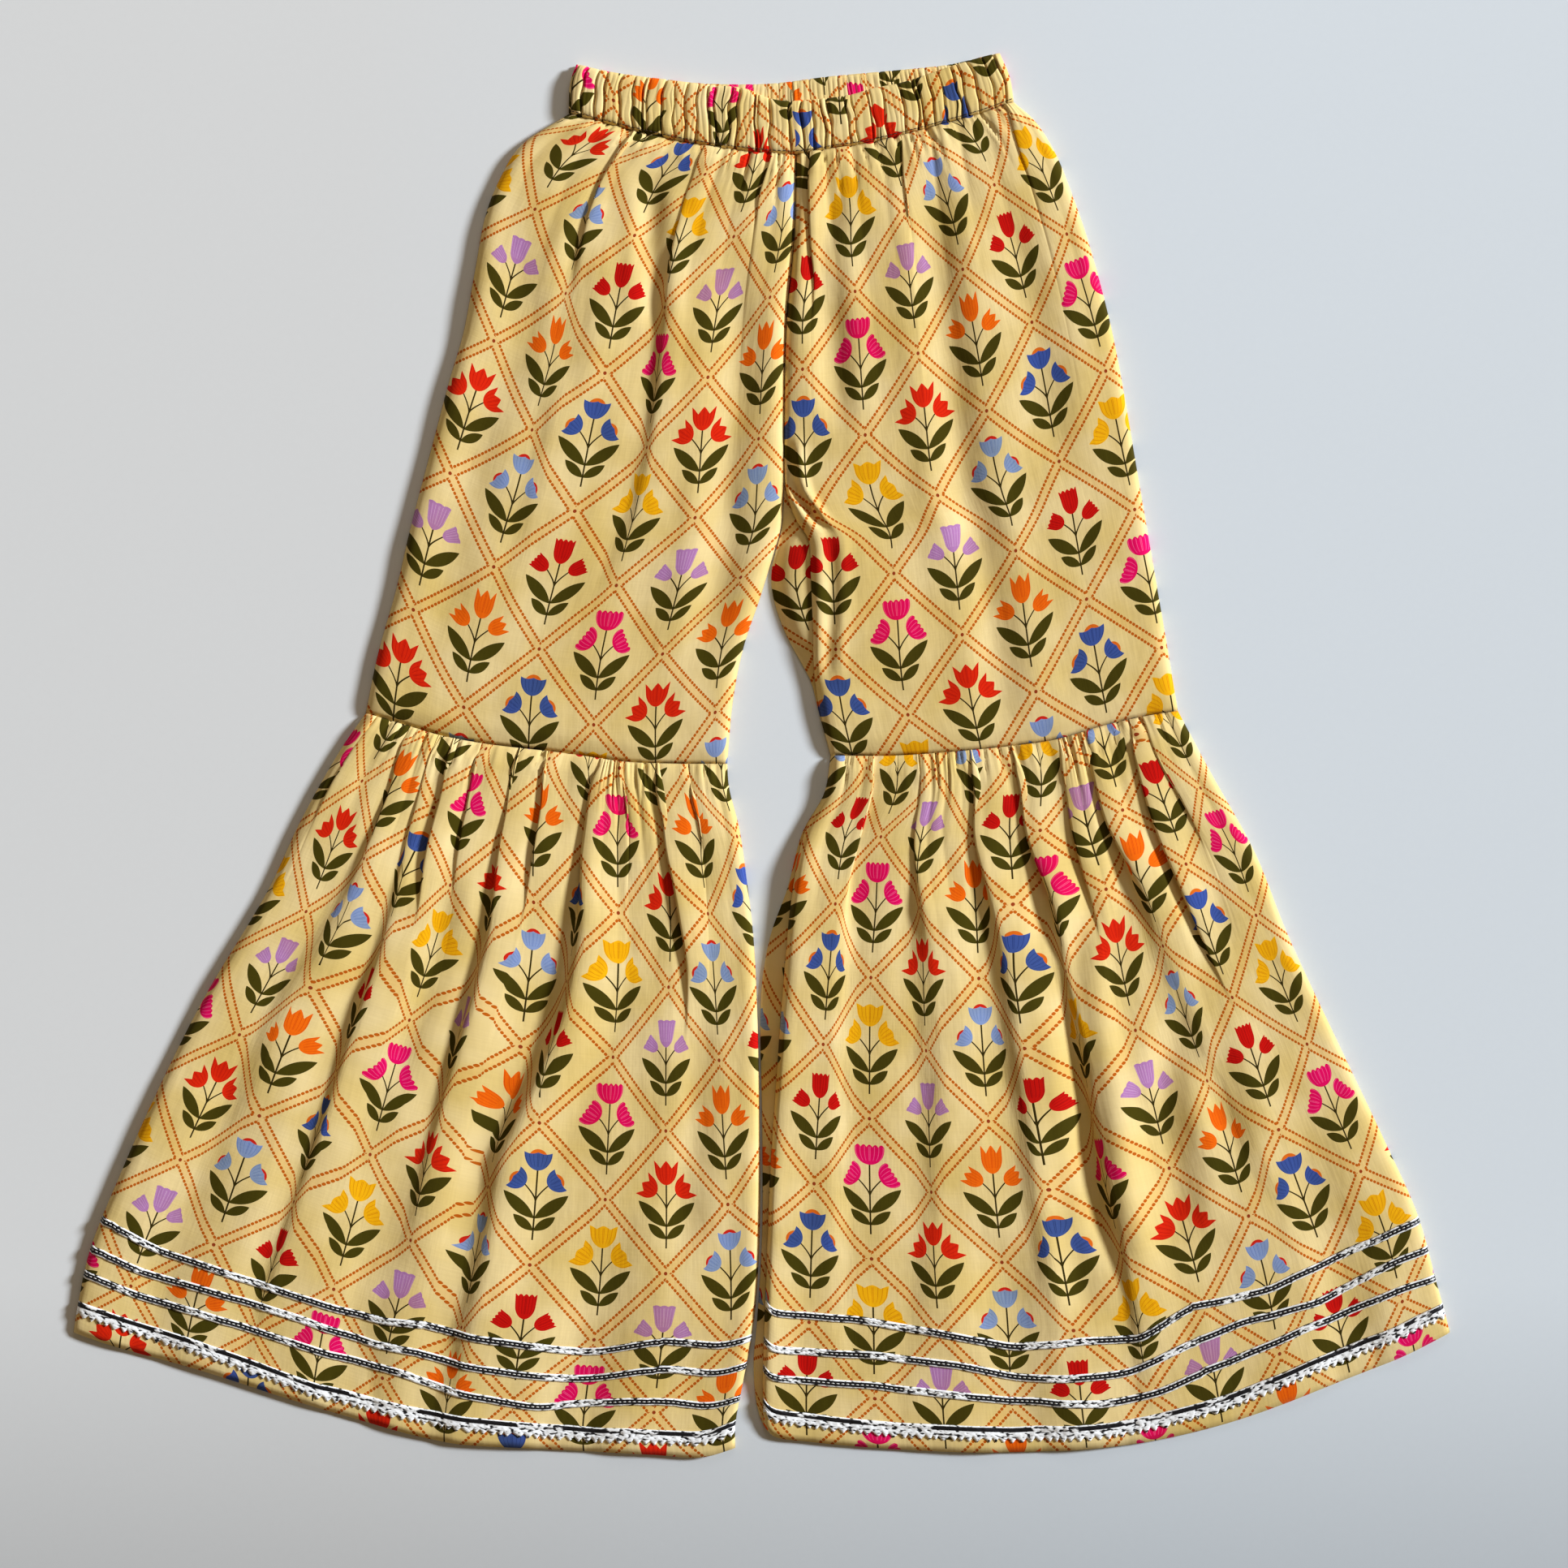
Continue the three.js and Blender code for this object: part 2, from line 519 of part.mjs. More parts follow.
// A casing: a flat inner face and, on the outside, one rounded rib for each gather
function casingGeometry(panel, floor, ribRise, perRib, rows) {
  const places = [];
  for (let rib = 0; rib < CASING_RIBS; rib += 1) {
    const from = ribPlace(rib);
    const to = ribPlace(rib + 1);
    for (let n = 0; n < perRib; n += 1) {
      const strength = n === 0 ? 0 : 1 + 0.3 * Math.sin(rib * 4.1);
      places.push({ u: from + (to - from) * (n === 0 ? 0 : (n - 0.1) / (perRib - 0.2)), strength });
    }
  }
  places.push({ u: 1, strength: 0 });
  const inner = rows.map(({ v }) => places.map(({ u }) => panel.at(u, v).setZ(floor)));
  const outer = rows.map(({ v, full }) => places.map(({ u, strength }) => {
    const end = roundOff(Math.min(u, 1 - u) * panel.width(v), EDGE_ROUND / 3);
    const thickness = CASING_EDGE + (CASING_WALL - CASING_EDGE) * Math.min(full, end);
    return panel.at(u, v).setZ(floor + thickness + ribRise * strength * full * end);
  }));
  return wallGeometry(inner, outer);
}

// A point on the outer face of a front panel, part of the way between two of its columns
function onFace(faces, columnFrom, share, v) {
  const { rows, outer } = faces;
  const place = clamp(v, rows[0], rows[rows.length - 1]);
  let i = rows.findIndex((row) => row >= place);
  i = Math.max(1, i);
  const t = (place - rows[i - 1]) / (rows[i] - rows[i - 1]);
  const columnTo = Math.min(columnFrom + 1, outer[0].length - 1);
  const left = outer[i - 1][columnFrom].clone().lerp(outer[i][columnFrom], t);
  const right = outer[i - 1][columnTo].clone().lerp(outer[i][columnTo], t);
  return left.lerp(right, share);
}

// Place across a tier of a column or of a point between two columns, where the trims run
function acrossAt(faces, columnFrom, share) {
  const place = (column) => {
    const { from, to, share: part } = column;
    const end = (knot) => (knot.pleat ? knot.pleat.end : knot.place);
    return end(from) + (end(to) - end(from)) * part;
  };
  const a = place(faces.columns[columnFrom]);
  const b = place(faces.columns[Math.min(columnFrom + 1, faces.columns.length - 1)]);
  return a + (b - a) * share;
}

// A trim sewn on a tier: the tier's own points, moved out. Every second lower point of a lace
// is a tooth.
function trimGeometry(panel, faces, path, { width, tooth, thickness, steps }) {
  const length = panel.length();
  const stations = [];
  for (let j = 0; j + 1 < faces.columns.length; j += 1) {
    for (let n = 0; n < steps; n += 1) stations.push({ column: j, share: n / steps });
  }
  stations.push({ column: faces.columns.length - 2, share: 1 });
  const edge = (side) => stations.map(({ column, share }, number) => {
    const down = between(path, acrossAt(faces, column, share));
    const point = number % 2 === 1 && side > 0 ? tooth : 0;
    return onFace(faces, column, share, down + (side * width / 2 + point) / length);
  });
  const base = [edge(-1), edge(1)];
  const lifted = (by) => base.map((row) => row.map((point) => point.clone().setZ(point.z + by)));
  return wallGeometry(lifted(TRIM_LIFT), lifted(TRIM_LIFT + thickness));
}

const LEG_ROWS = [0, 0.02, 0.05, 0.09, 0.15, 0.23, 0.33, 0.44, 0.56, 0.68, 0.80, 0.90, 0.97, 1];
const TIER_ROWS = [0, 0.02, 0.05, 0.09, 0.14, 0.20, 0.28, 0.38, 0.50, 0.63, 0.75, 0.85, 0.92, 0.965, 1];
const CASING_FRONT_ROWS = [{ v: 0, full: 0 }, { v: 0.1, full: 1 }, { v: 0.85, full: 1 }, { v: 1, full: 0.3 }];
const CASING_BACK_ROWS = [{ v: 0, full: 0 }, { v: 0.1, full: 1 }, { v: 1, full: 1 }];

function addLeg(side, key) {
  const [top, bottom] = side === "left" ? ["waistLeft", "kneeLeft"] : ["waistRight", "kneeRight"];
  const edges = side === "left" ? ["sideLeft", "middleLeft"] : ["middleRight", "sideRight"];
  const backEdges = side === "left" ? edges : ["middleRightBack", "sideRight"];
  const front = new Panel(top, bottom, ...edges);
  const back = new Panel(top, bottom, ...backEdges);
  const faces = frontFaces(front, key, LEG_ROWS, false);
  addPiece(`leg_${side}_front`, wallGeometry(faces.inner, faces.outer), cotton);
  addPiece(`leg_${side}_back`, backGeometry(back, { side: 44, end: 14 }), cotton);
}

function addTier(side, key) {
  const [top, bottom] = side === "left" ? ["kneeLeft", "hemLeft"] : ["kneeRight", "hemRight"];
  const edges = side === "left" ? ["flareLeft", "innerLeft"] : ["innerRight", "flareRight"];
  const panel = new Panel(top, bottom, ...edges);
  const faces = frontFaces(panel, key, TIER_ROWS, true);
  addPiece(`tier_${side}_front`, wallGeometry(faces.inner, faces.outer), cotton);
  addPiece(`tier_${side}_back`, backGeometry(panel, { side: 40, end: 24 }), cotton);
  const ribbon = { width: RIBBON_WIDTH, tooth: 0, thickness: RIBBON_WALL, steps: 1 };
  const lace = { width: LACE_WIDTH, tooth: LACE_TOOTH, thickness: LACE_WALL, steps: LACE_STEPS };
  TRIMS[key].forEach((path, number) => {
    const isLace = number === TRIMS[key].length - 1;
    const name = isLace ? `lace_${side}` : `ribbon_${side}_${number + 1}`;
    addPiece(name, trimGeometry(panel, faces, path, isLace ? lace : ribbon), silver);
  });
}

function addWaistband() {
  const ends = ["casingLeftEnd", "casingRightEnd"];
  const back = new Panel("casingBackTop", "waist", ...ends);
  const front = new Panel("casingFrontTop", "waist", ...ends);
  const frontFloor = CASING_WALL + CASING_BACK_RIB * 1.3 + SEAM_GAP;
  addPiece("waistband_back", casingGeometry(back, 0, CASING_BACK_RIB, 2, CASING_BACK_ROWS), cotton);
  addPiece("waistband_front", casingGeometry(front, frontFloor, CASING_RIB, 3, CASING_FRONT_ROWS), cotton);
}

addWaistband();
addLeg("left", "legLeft");
addLeg("right", "legRight");
addTier("left", "tierLeft");
addTier("right", "tierRight");

export default pants;
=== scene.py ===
"""Looks of a child's tiered ruffle pants, laid flat with the front uppermost.

Printed cotton with a casing at the waist, a gathered tier from each knee, and rows of silver
ribbon and lace above the hems. Lengths in the tables are millimetres, as a maker would cut them.
"""

import math

import bmesh
import bpy
import numpy as np
from bpy.props import FloatProperty, FloatVectorProperty, IntProperty, PointerProperty
from mathutils import Matrix, Vector


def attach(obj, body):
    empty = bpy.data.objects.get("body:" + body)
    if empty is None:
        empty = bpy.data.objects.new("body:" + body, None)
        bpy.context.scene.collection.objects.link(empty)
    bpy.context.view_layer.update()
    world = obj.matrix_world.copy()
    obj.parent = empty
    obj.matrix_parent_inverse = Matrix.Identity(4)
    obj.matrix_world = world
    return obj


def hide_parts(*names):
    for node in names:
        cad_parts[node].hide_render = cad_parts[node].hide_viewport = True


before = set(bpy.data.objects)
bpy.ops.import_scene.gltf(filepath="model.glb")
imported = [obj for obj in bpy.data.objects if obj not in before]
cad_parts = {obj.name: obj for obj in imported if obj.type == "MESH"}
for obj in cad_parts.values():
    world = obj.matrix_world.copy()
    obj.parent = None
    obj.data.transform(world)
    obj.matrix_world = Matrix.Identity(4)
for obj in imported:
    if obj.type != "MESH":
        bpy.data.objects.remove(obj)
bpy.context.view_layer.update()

bl_info = {
    "name": "Tiered Ruffle Pants",
    "version": (1, 0, 0),
    "blender": (4, 5, 0),
    "location": "View3D > Sidebar > Pants",
    "description": "Builds a child's tiered ruffle pants in printed cotton, laid flat",
    "category": "Object",
}

MM = 0.001

# Heights above the surface in millimetres: the backs, a front's side edges, the lowest that a
# front comes, its upper face at the seams and the crown that it swells to between them
BACK_TOP = 0.62
SIDE_FOLD = 1.16
LOWEST = 1.14
FRONT_TOP = 2.7
CROWN = 3.2

# How far in from a side the crown rises, the edge is rounded and a loose edge is lifted
EDGE_ROUND = 7.5
SIDE_ROUND = 2.4
EDGE_REACH = 26

# A seam holds the cloth down over its hold, to a share of the crown, with a ditch at its stitches
SEAM_HOLD = 9
SEAM_LIFT = 0.45
SEAM_DITCH = 0.9
DITCH_WIDTH = 2.2

# Towards the hem the crown sinks to a share of itself, and the turned edge drops over its width
HEM_START = 0.8
HEM_LIFT = 0.2
HEM_DROP = 1.0
HEM_WIDTH = 3.0

# A pleat's lap slopes away over one width, and the hollow beside it over another
LAP_WIDTH = 13
HOLLOW_WIDTH = 5
HOLLOW_SHARE = 0.45

# A pleat opens out over the first millimetres below its seam, from a share of its size. A short
# one keeps its size for a share of its reach. Its rise grows from held to free on the way down.
OPEN_OUT = 14
HELD_SHARE = 0.4
PLEAT_HOLD = 0.45
SEAM_RISE = 0.13
FREE_RISE = 0.64
FREE_FROM = 95

# Width of the turned cloth, sharp near the seam and soft lower down
FOLD_OPEN = 2.2
SOFT_OPEN = 9
SOFT_START = 45
SOFT_FULL = 110
FOLD_COLUMNS = 9

# Fine unevenness of the whole cloth
WRINKLES = (
    dict(rise=0.42, size=26, squash=1.0, seed=11),
    dict(rise=0.13, size=9, squash=0.7, seed=12),
)

# How far in from a side the extra columns lie that shape its folded edge
EDGE_COLUMNS = (0.3, 0.7, 1.2, 1.8)

# Inner edges that nothing holds down, between two shares of the way down: the edge's side, how far
# the cloth is lifted and over what width, and how much higher the edge itself stands
LOOSE_EDGES = {
    "leg_right": dict(side=0, start=0.58, end=0.90, lift=2.6, reach=90, stand=5.2),
    "tier_right": dict(side=0, start=0.10, end=1.00, lift=2.8, reach=24, stand=0.0),
    "tier_left": dict(side=1, start=0.20, end=1.00, lift=0.8, reach=16, stand=0.0),
}
# The shares over which a loose edge comes free and is held again
LOOSE_START = 0.08
LOOSE_END = 0.12

# The roll of the right leg's back beside its inseam, under the front's standing edge
BACK_ROLL = dict(rise=4.8, rim=1.0, width=7.0, flat=22.0, reach=24.0)

# Outlines, each a smooth curve through the points that its shape needs
CENTRE_SEAM = [(17, 296), (16, 256), (12, 212), (11, 160)]
OUTLINES = {
    "side_left": [
        (-95, 316), (-119, 300), (-129, 284), (-136, 266), (-141, 240), (-147, 208),
        (-154, 184), (-163, 150), (-173, 112), (-180, 82), (-189, 50), (-195, 21),
    ],
    "side_right": [
        (124, 322), (135, 312), (145, 296), (153, 276), (160, 256), (170, 220),
        (176, 192), (187, 128), (198, 64), (205, 22),
    ],
    "waist_left": [(-95, 316), (-73, 310), (-39, 302), (-4, 297), (17, 296)],
    "waist_right": [(17, 296), (37, 299), (51, 301), (72, 306), (94, 312), (111, 317), (124, 322)],
    "middle_left": [
        *CENTRE_SEAM, (10.8, 130), (9.4, 112), (6, 100), (0, 80), (-9, 53), (-14, 28), (-17, -4),
    ],
    "middle_right": [
        *CENTRE_SEAM, (12, 130), (17, 116), (23, 106), (24, 92), (25, 66), (26, 39), (29, 20), (34, 0),
    ],
    "middle_right_back": [
        *CENTRE_SEAM, (11, 130), (9.8, 112), (7, 101), (5, 92), (4.8, 84), (6, 77), (9, 67),
        (12.8, 58), (16.5, 51), (20.5, 44), (24.5, 36), (28.5, 20), (34, 0),
    ],
    "knee_left": [
        (-195, 21), (-175, 15), (-158, 10), (-137, 6), (-95, 1), (-67, -3), (-41, -4), (-17, -4),
    ],
    "knee_right": [
        (34, 0), (65, 0), (95, 2), (125, 5), (145, 8), (169, 15), (192, 20), (205, 22),
    ],
    "flare_left": [
        (-195, 21), (-208, 2), (-227, -32), (-243, -66), (-275, -120), (-298, -166),
        (-315, -204), (-331, -244), (-337, -272), (-339, -284),
    ],
    "flare_right": [
        (205, 22), (221, -8), (243, -48), (259, -88), (287, -148), (306, -188),
        (323, -226), (332, -258), (339, -284),
    ],
    "inner_left": [
        (-17, -4), (-16, -16), (-11, -36), (-7, -64), (-4, -90), (-2, -130),
        (-1, -180), (-1, -236), (-4, -280), (-9, -308), (-13, -330), (-13, -341),
    ],
    "inner_right": [
        (34, 0), (31, -18), (21, -38), (15, -68), (11, -108), (8, -148),
        (4, -208), (2, -260), (0.5, -308), (1, -330),
    ],
    "inner_right_back": [
        (34, 0), (31, -18), (20, -38), (12.5, -66), (4.5, -88), (0.4, -110), (-0.6, -130),
        (0.2, -180), (0.2, -236), (-2.4, -280), (-4, -300), (-2, -322), (1, -330),
    ],
    "hem_left": [
        (-339, -284), (-315, -292), (-275, -303), (-235, -316), (-195, -328),
        (-155, -338), (-115, -341), (-55, -344), (-30, -345.5), (-13, -341),
    ],
    "hem_right": [
        (1, -330), (6, -335), (25, -338), (75, -342), (120, -343), (165, -341),
        (195, -337), (235, -327), (275, -312), (315, -296), (339, -284),
    ],
    "casing_front_top": [
        (-91, 340), (-73, 336), (-43, 332), (-27, 330), (-8, 328), (3, 323.5), (11, 322),
        (29, 323), (44, 325), (54, 328), (69, 331), (93, 339), (110, 344), (117, 345.5),
    ],
    "casing_back_top": [
        (-91, 340), (-73, 336), (-43, 332), (-27, 330.5), (4, 330.5), (33, 334),
        (76, 338), (93, 340), (110, 344), (117, 345.5),
    ],
    "casing_left_end": [(-91, 340), (-94, 332), (-95, 316)],
    "casing_right_end": [(117, 345.5), (122, 334), (124, 322)],
}
OUTLINES["waist"] = OUTLINES["waist_left"] + OUTLINES["waist_right"][1:]

# Pleats let go from a seam: the crease's path as (down, across) shares of the panel, the rise of
# the upper layer and the cloth hidden under it. A negative rise laps the other way. A pleat ends
# at its reach, or it softens into a long fold that keeps shares of the cloth as its hold says.
PLEATS = {
    "tier_left": [
        dict(path=((0, 0.033), (0.14, 0.026)), reach=0.22, rise=2.5, hidden=5),
        dict(
            path=((0, 0.127), (0.04, 0.143), (0.10, 0.162), (0.15, 0.164), (0.25, 0.150), (0.45, 0.128)),
            hold=((0, 1), (0.20, 0.8), (0.45, 0.7), (0.65, 0.3), (0.85, 0)), rise=4.6, hidden=11, soft=13,
        ),
        dict(
            path=((0, 0.209), (0.08, 0.225), (0.20, 0.240), (0.41, 0.262), (0.63, 0.270), (0.81, 0.267)),
            hold=(
                (0, 0.3), (0.20, 0.3), (0.30, 0.55), (0.41, 0.95), (0.52, 0.7), (0.66, 0.5),
                (0.80, 0.4), (0.97, 0),
            ),
            rise=5.6, hidden=22,
        ),
        dict(
            path=((0, 0.251), (0.045, 0.269), (0.084, 0.282), (0.21, 0.292), (0.41, 0.330)),
            reach=0.30, rise=6.0, hidden=9, held=0.25,
        ),
        dict(
            path=((0, 0.327), (0.06, 0.342), (0.11, 0.350), (0.18, 0.356), (0.41, 0.390)),
            reach=0.26, rise=4.0, hidden=8,
        ),
        dict(
            path=((0, 0.433), (0.10, 0.446), (0.21, 0.449), (0.42, 0.453), (0.60, 0.450)),
            hold=((0, 0.6), (0.20, 0.8), (0.42, 1), (0.55, 0.65), (0.78, 0)), rise=5.0, hidden=19,
        ),
        dict(
            path=((0, 0.506), (0.04, 0.520), (0.09, 0.525), (0.16, 0.522), (0.40, 0.510)),
            reach=0.28, rise=4.0, hidden=8,
        ),
        dict(
            path=(
                (0, 0.659), (0.08, 0.643), (0.20, 0.634), (0.27, 0.628), (0.38, 0.622), (0.48, 0.596),
                (0.59, 0.561), (0.70, 0.564), (0.88, 0.567),
            ),
            hold=((0, 0.75), (0.24, 0.9), (0.38, 1), (0.52, 0.85), (0.72, 0.6), (0.88, 0.4), (1.05, 0)),
            rise=7.5, hidden=21, soft=13, held=0.3,
        ),
        dict(path=((0, 0.716), (0.06, 0.733)), reach=0.12, rise=2.5, hidden=6),
        dict(
            path=((0, 0.810), (0.035, 0.821), (0.125, 0.828), (0.18, 0.845), (0.295, 0.864)),
            reach=0.42, rise=5.0, hidden=12,
        ),
        dict(path=((0, 0.896), (0.07, 0.906)), reach=0.16, rise=3.0, hidden=6),
    ],
    "tier_right": [
        dict(
            path=((0, 0.121), (0.06, 0.120), (0.11, 0.133), (0.21, 0.120), (0.60, 0.120)),
            hold=((0, 1), (0.20, 0.9), (0.45, 0.6), (0.80, 0.3), (1.0, 0)), rise=-3.5, hidden=9, soft=13,
        ),
        dict(
            path=(
                (0, 0.248), (0.085, 0.258), (0.15, 0.268), (0.32, 0.278), (0.46, 0.281),
                (0.65, 0.264), (0.9, 0.22),
            ),
            hold=((0, 0.4), (0.12, 0.4), (0.23, 0.85), (0.33, 0.35), (0.65, 0.35), (0.90, 0.1)),
            rise=5.5, hidden=13, soft=14,
        ),
        dict(
            path=((0, 0.398), (0.09, 0.409), (0.19, 0.420), (0.33, 0.431), (0.47, 0.433), (0.60, 0.430)),
            hold=((0, 0.9), (0.22, 1), (0.38, 0.8), (0.50, 0.65), (0.70, 0.4), (0.90, 0)),
            rise=5.5, hidden=13, soft=12,
        ),
        dict(
            path=((0, 0.514), (0.10, 0.533), (0.22, 0.552), (0.43, 0.558), (0.64, 0.548), (0.85, 0.550)),
            hold=((0, 0.65), (0.20, 1), (0.32, 0.7), (0.43, 1), (0.64, 0.9), (0.76, 0.5), (0.95, 0)),
            rise=7.0, hidden=19,
        ),
        dict(
            path=((0, 0.652), (0.06, 0.641), (0.11, 0.642), (0.205, 0.636), (0.40, 0.640)),
            reach=0.32, rise=5.0, hidden=10,
        ),
        dict(
            path=((0, 0.729), (0.05, 0.722), (0.16, 0.725), (0.285, 0.741), (0.44, 0.765), (0.70, 0.800)),
            hold=((0, 0.95), (0.22, 0.85), (0.34, 0.35), (0.65, 0.3), (0.85, 0.1)),
            rise=7.0, hidden=16, soft=12,
        ),
        dict(
            path=(
                (0, 0.860), (0.05, 0.839), (0.12, 0.829), (0.18, 0.822), (0.26, 0.826),
                (0.44, 0.850), (0.70, 0.880),
            ),
            reach=0.46, rise=5.5, hidden=11,
        ),
        dict(
            path=((0, 0.894), (0.07, 0.888), (0.12, 0.903), (0.17, 0.903)),
            reach=0.24, rise=3.0, hidden=7,
        ),
    ],
    "leg_left": [
        dict(
            path=((0, 0.293), (0.07, 0.324), (0.13, 0.324), (0.16, 0.322), (0.50, 0.30)),
            hold=((0, 1), (0.14, 0.9), (0.30, 0.6), (0.50, 0.5), (0.85, 0)), rise=4.0, hidden=8, soft=13,
        ),
        dict(
            path=(
                (0, 0.600), (0.06, 0.617), (0.14, 0.612), (0.27, 0.603), (0.394, 0.606),
                (0.50, 0.602), (0.75, 0.56),
            ),
            hold=((0, 0.8), (0.14, 0.6), (0.27, 0.7), (0.40, 1), (0.50, 0.7), (0.62, 0.5), (0.78, 0)),
            rise=3.6, hidden=10,
        ),
        dict(path=((0, 0.894), (0.035, 0.888), (0.08, 0.868)), reach=0.14, rise=2.5, hidden=6),
    ],
    "leg_right": [
        dict(
            path=((0, 0.062), (0.08, 0.060), (0.15, 0.068), (0.205, 0.084)),
            reach=0.30, rise=4.0, hidden=10,
        ),
        dict(path=((0, 0.475), (0.07, 0.430), (0.13, 0.416)), reach=0.18, rise=3.5, hidden=8),
        dict(path=((0, 0.957), (0.05, 0.898), (0.10, 0.870)), reach=0.14, rise=2.5, hidden=5),
    ],
}

# Soft folds lower down: the path as (down, across), and the width and depth of the hollow
FOLDS = {
    "tier_left": [
        dict(path=((0.62, 0.760), (0.85, 0.755), (1.08, 0.750)), width=16, depth=1.6),
        dict(path=((0.50, 0.130), (0.80, 0.120), (1.08, 0.110)), width=14, depth=1.3),
        dict(path=((0.55, 0.400), (0.80, 0.410), (1.08, 0.430)), width=13, depth=1.5),
        dict(path=((0.18, 0.350), (0.35, 0.372), (0.55, 0.380)), width=7, depth=1.0),
        dict(path=((0.30, 0.880), (0.50, 0.890), (0.75, 0.870)), width=8, depth=1.0),
    ],
    "tier_right": [
        dict(path=((0.50, 0.530), (0.66, 0.495), (0.85, 0.480)), width=10, depth=1.8),
        dict(
            path=((0.18, 0.640), (0.32, 0.579), (0.49, 0.560), (0.68, 0.542), (0.84, 0.555)),
            width=7, depth=2.2,
        ),
        dict(path=((0.38, 0.750), (0.48, 0.715), (0.57, 0.674), (0.76, 0.650)), width=9, depth=2.0),
        dict(path=((0.60, 0.860), (0.85, 0.860), (1.08, 0.850)), width=14, depth=1.5),
        dict(path=((0.66, 0.360), (0.85, 0.370), (1.08, 0.380)), width=14, depth=1.5),
        dict(path=((0.34, 0.812), (0.50, 0.790), (0.66, 0.780)), width=9, depth=1.3),
    ],
    "leg_left": [
        dict(
            path=((0.10, 0.800), (0.28, 0.849), (0.44, 0.851), (0.545, 0.833), (0.88, 0.905)),
            width=9, depth=2.1,
        ),
        dict(path=((0.06, 0.476), (0.22, 0.560), (0.34, 0.590)), width=6, depth=1.9),
        dict(path=((0.12, 0.151), (0.36, 0.164), (0.57, 0.131), (0.90, 0.145)), width=10, depth=1.3),
        dict(path=((0.14, 0.324), (0.30, 0.340), (0.48, 0.330)), width=7, depth=1.0),
    ],
    "leg_right": [
        dict(
            path=((0.02, 0.543), (0.09, 0.495), (0.40, 0.495), (0.53, 0.505), (0.76, 0.473)),
            width=9, depth=2.3,
        ),
        dict(path=((0.01, 0.179), (0.17, 0.102), (0.29, 0.139), (0.50, 0.165)), width=7, depth=1.8),
        dict(path=((0.56, 0.505), (0.74, 0.513), (0.845, 0.522), (1.00, 0.508)), width=9, depth=1.4),
        dict(path=((0.10, 0.760), (0.30, 0.770), (0.62, 0.760)), width=10, depth=1.0),
        dict(path=((0.46, 0.010), (0.54, 0.022), (0.60, 0.050), (0.64, 0.075)), width=2.6, depth=3.2),
        dict(path=((0.52, 0.004), (0.57, 0.030), (0.60, 0.070)), width=2.2, depth=2.4),
        dict(path=((0.60, 0.060), (0.72, 0.060), (0.90, 0.030)), width=3.5, depth=1.4),
    ],
}



def back_pleats(acrosses, slant, down, reach, longer, kinds, rise, hidden):
    """Short shallow pleats side by side, each a step longer than the one before, by kinds."""
    return [
        dict(
            path=((0, across), (down, across + slant)), reach=reach + longer * (number % kinds),
            rise=rise, hidden=hidden,
        )
        for number, across in enumerate(acrosses)
    ]


# The back lies smooth, with pleats of its own under the knee seams and the casing
BACK_PLEATS = {
    "tier_left": back_pleats(
        (0.08, 0.17, 0.29, 0.36, 0.47, 0.58, 0.66, 0.78, 0.90), 0.01, 0.2, 0.24, 0.06, 3, 0.8, 10
    ),
    "tier_right": back_pleats(
        (0.10, 0.21, 0.30, 0.42, 0.53, 0.61, 0.74, 0.83, 0.93), -0.01, 0.2, 0.22, 0.07, 3, 0.8, 10
    ),
    "leg_left": back_pleats((0.15, 0.38, 0.52, 0.80), 0.02, 0.1, 0.16, 0.04, 2, 0.7, 6),
    "leg_right": back_pleats((0.20, 0.44, 0.66, 0.86), -0.02, 0.1, 0.15, 0.05, 2, 0.7, 6),
}

# How the print lies on each panel. Its place is counted in half cells of the lattice, across and
# down, as start + across * u + down * v + both * u * v + bow_u * u * u + bow_v * v * v.
GRAIN = {
    "leg_left": dict(
        across=dict(start=-3.11, across=5.65, down=2.04, both=-0.66, bow_u=0.59, bow_v=-1.33),
        down=dict(start=-4.60, across=-0.62, down=9.36, both=-0.46, bow_u=1.21, bow_v=-0.11),
    ),
    "leg_right": dict(
        across=dict(start=-0.21, across=5.81, down=-0.39, both=-0.29, bow_u=-0.10, bow_v=0.26),
        down=dict(start=-4.01, across=-0.29, down=8.35, both=0.45, bow_u=0.26, bow_v=0.18),
    ),
    "tier_left": dict(
        across=dict(start=-7.00, across=11.60, down=0.23, both=-1.30, bow_u=-0.40, bow_v=0.03),
        down=dict(start=-1.89, across=-0.75, down=9.48, both=-0.28, bow_u=0.65, bow_v=0.43),
    ),
    "tier_right": dict(
        across=dict(start=-4.97, across=10.09, down=0.55, both=-0.05, bow_u=0.24, bow_v=-0.26),
        down=dict(start=-3.13, across=-0.47, down=9.73, both=0.07, bow_u=0.41, bow_v=0.17),
    ),
}

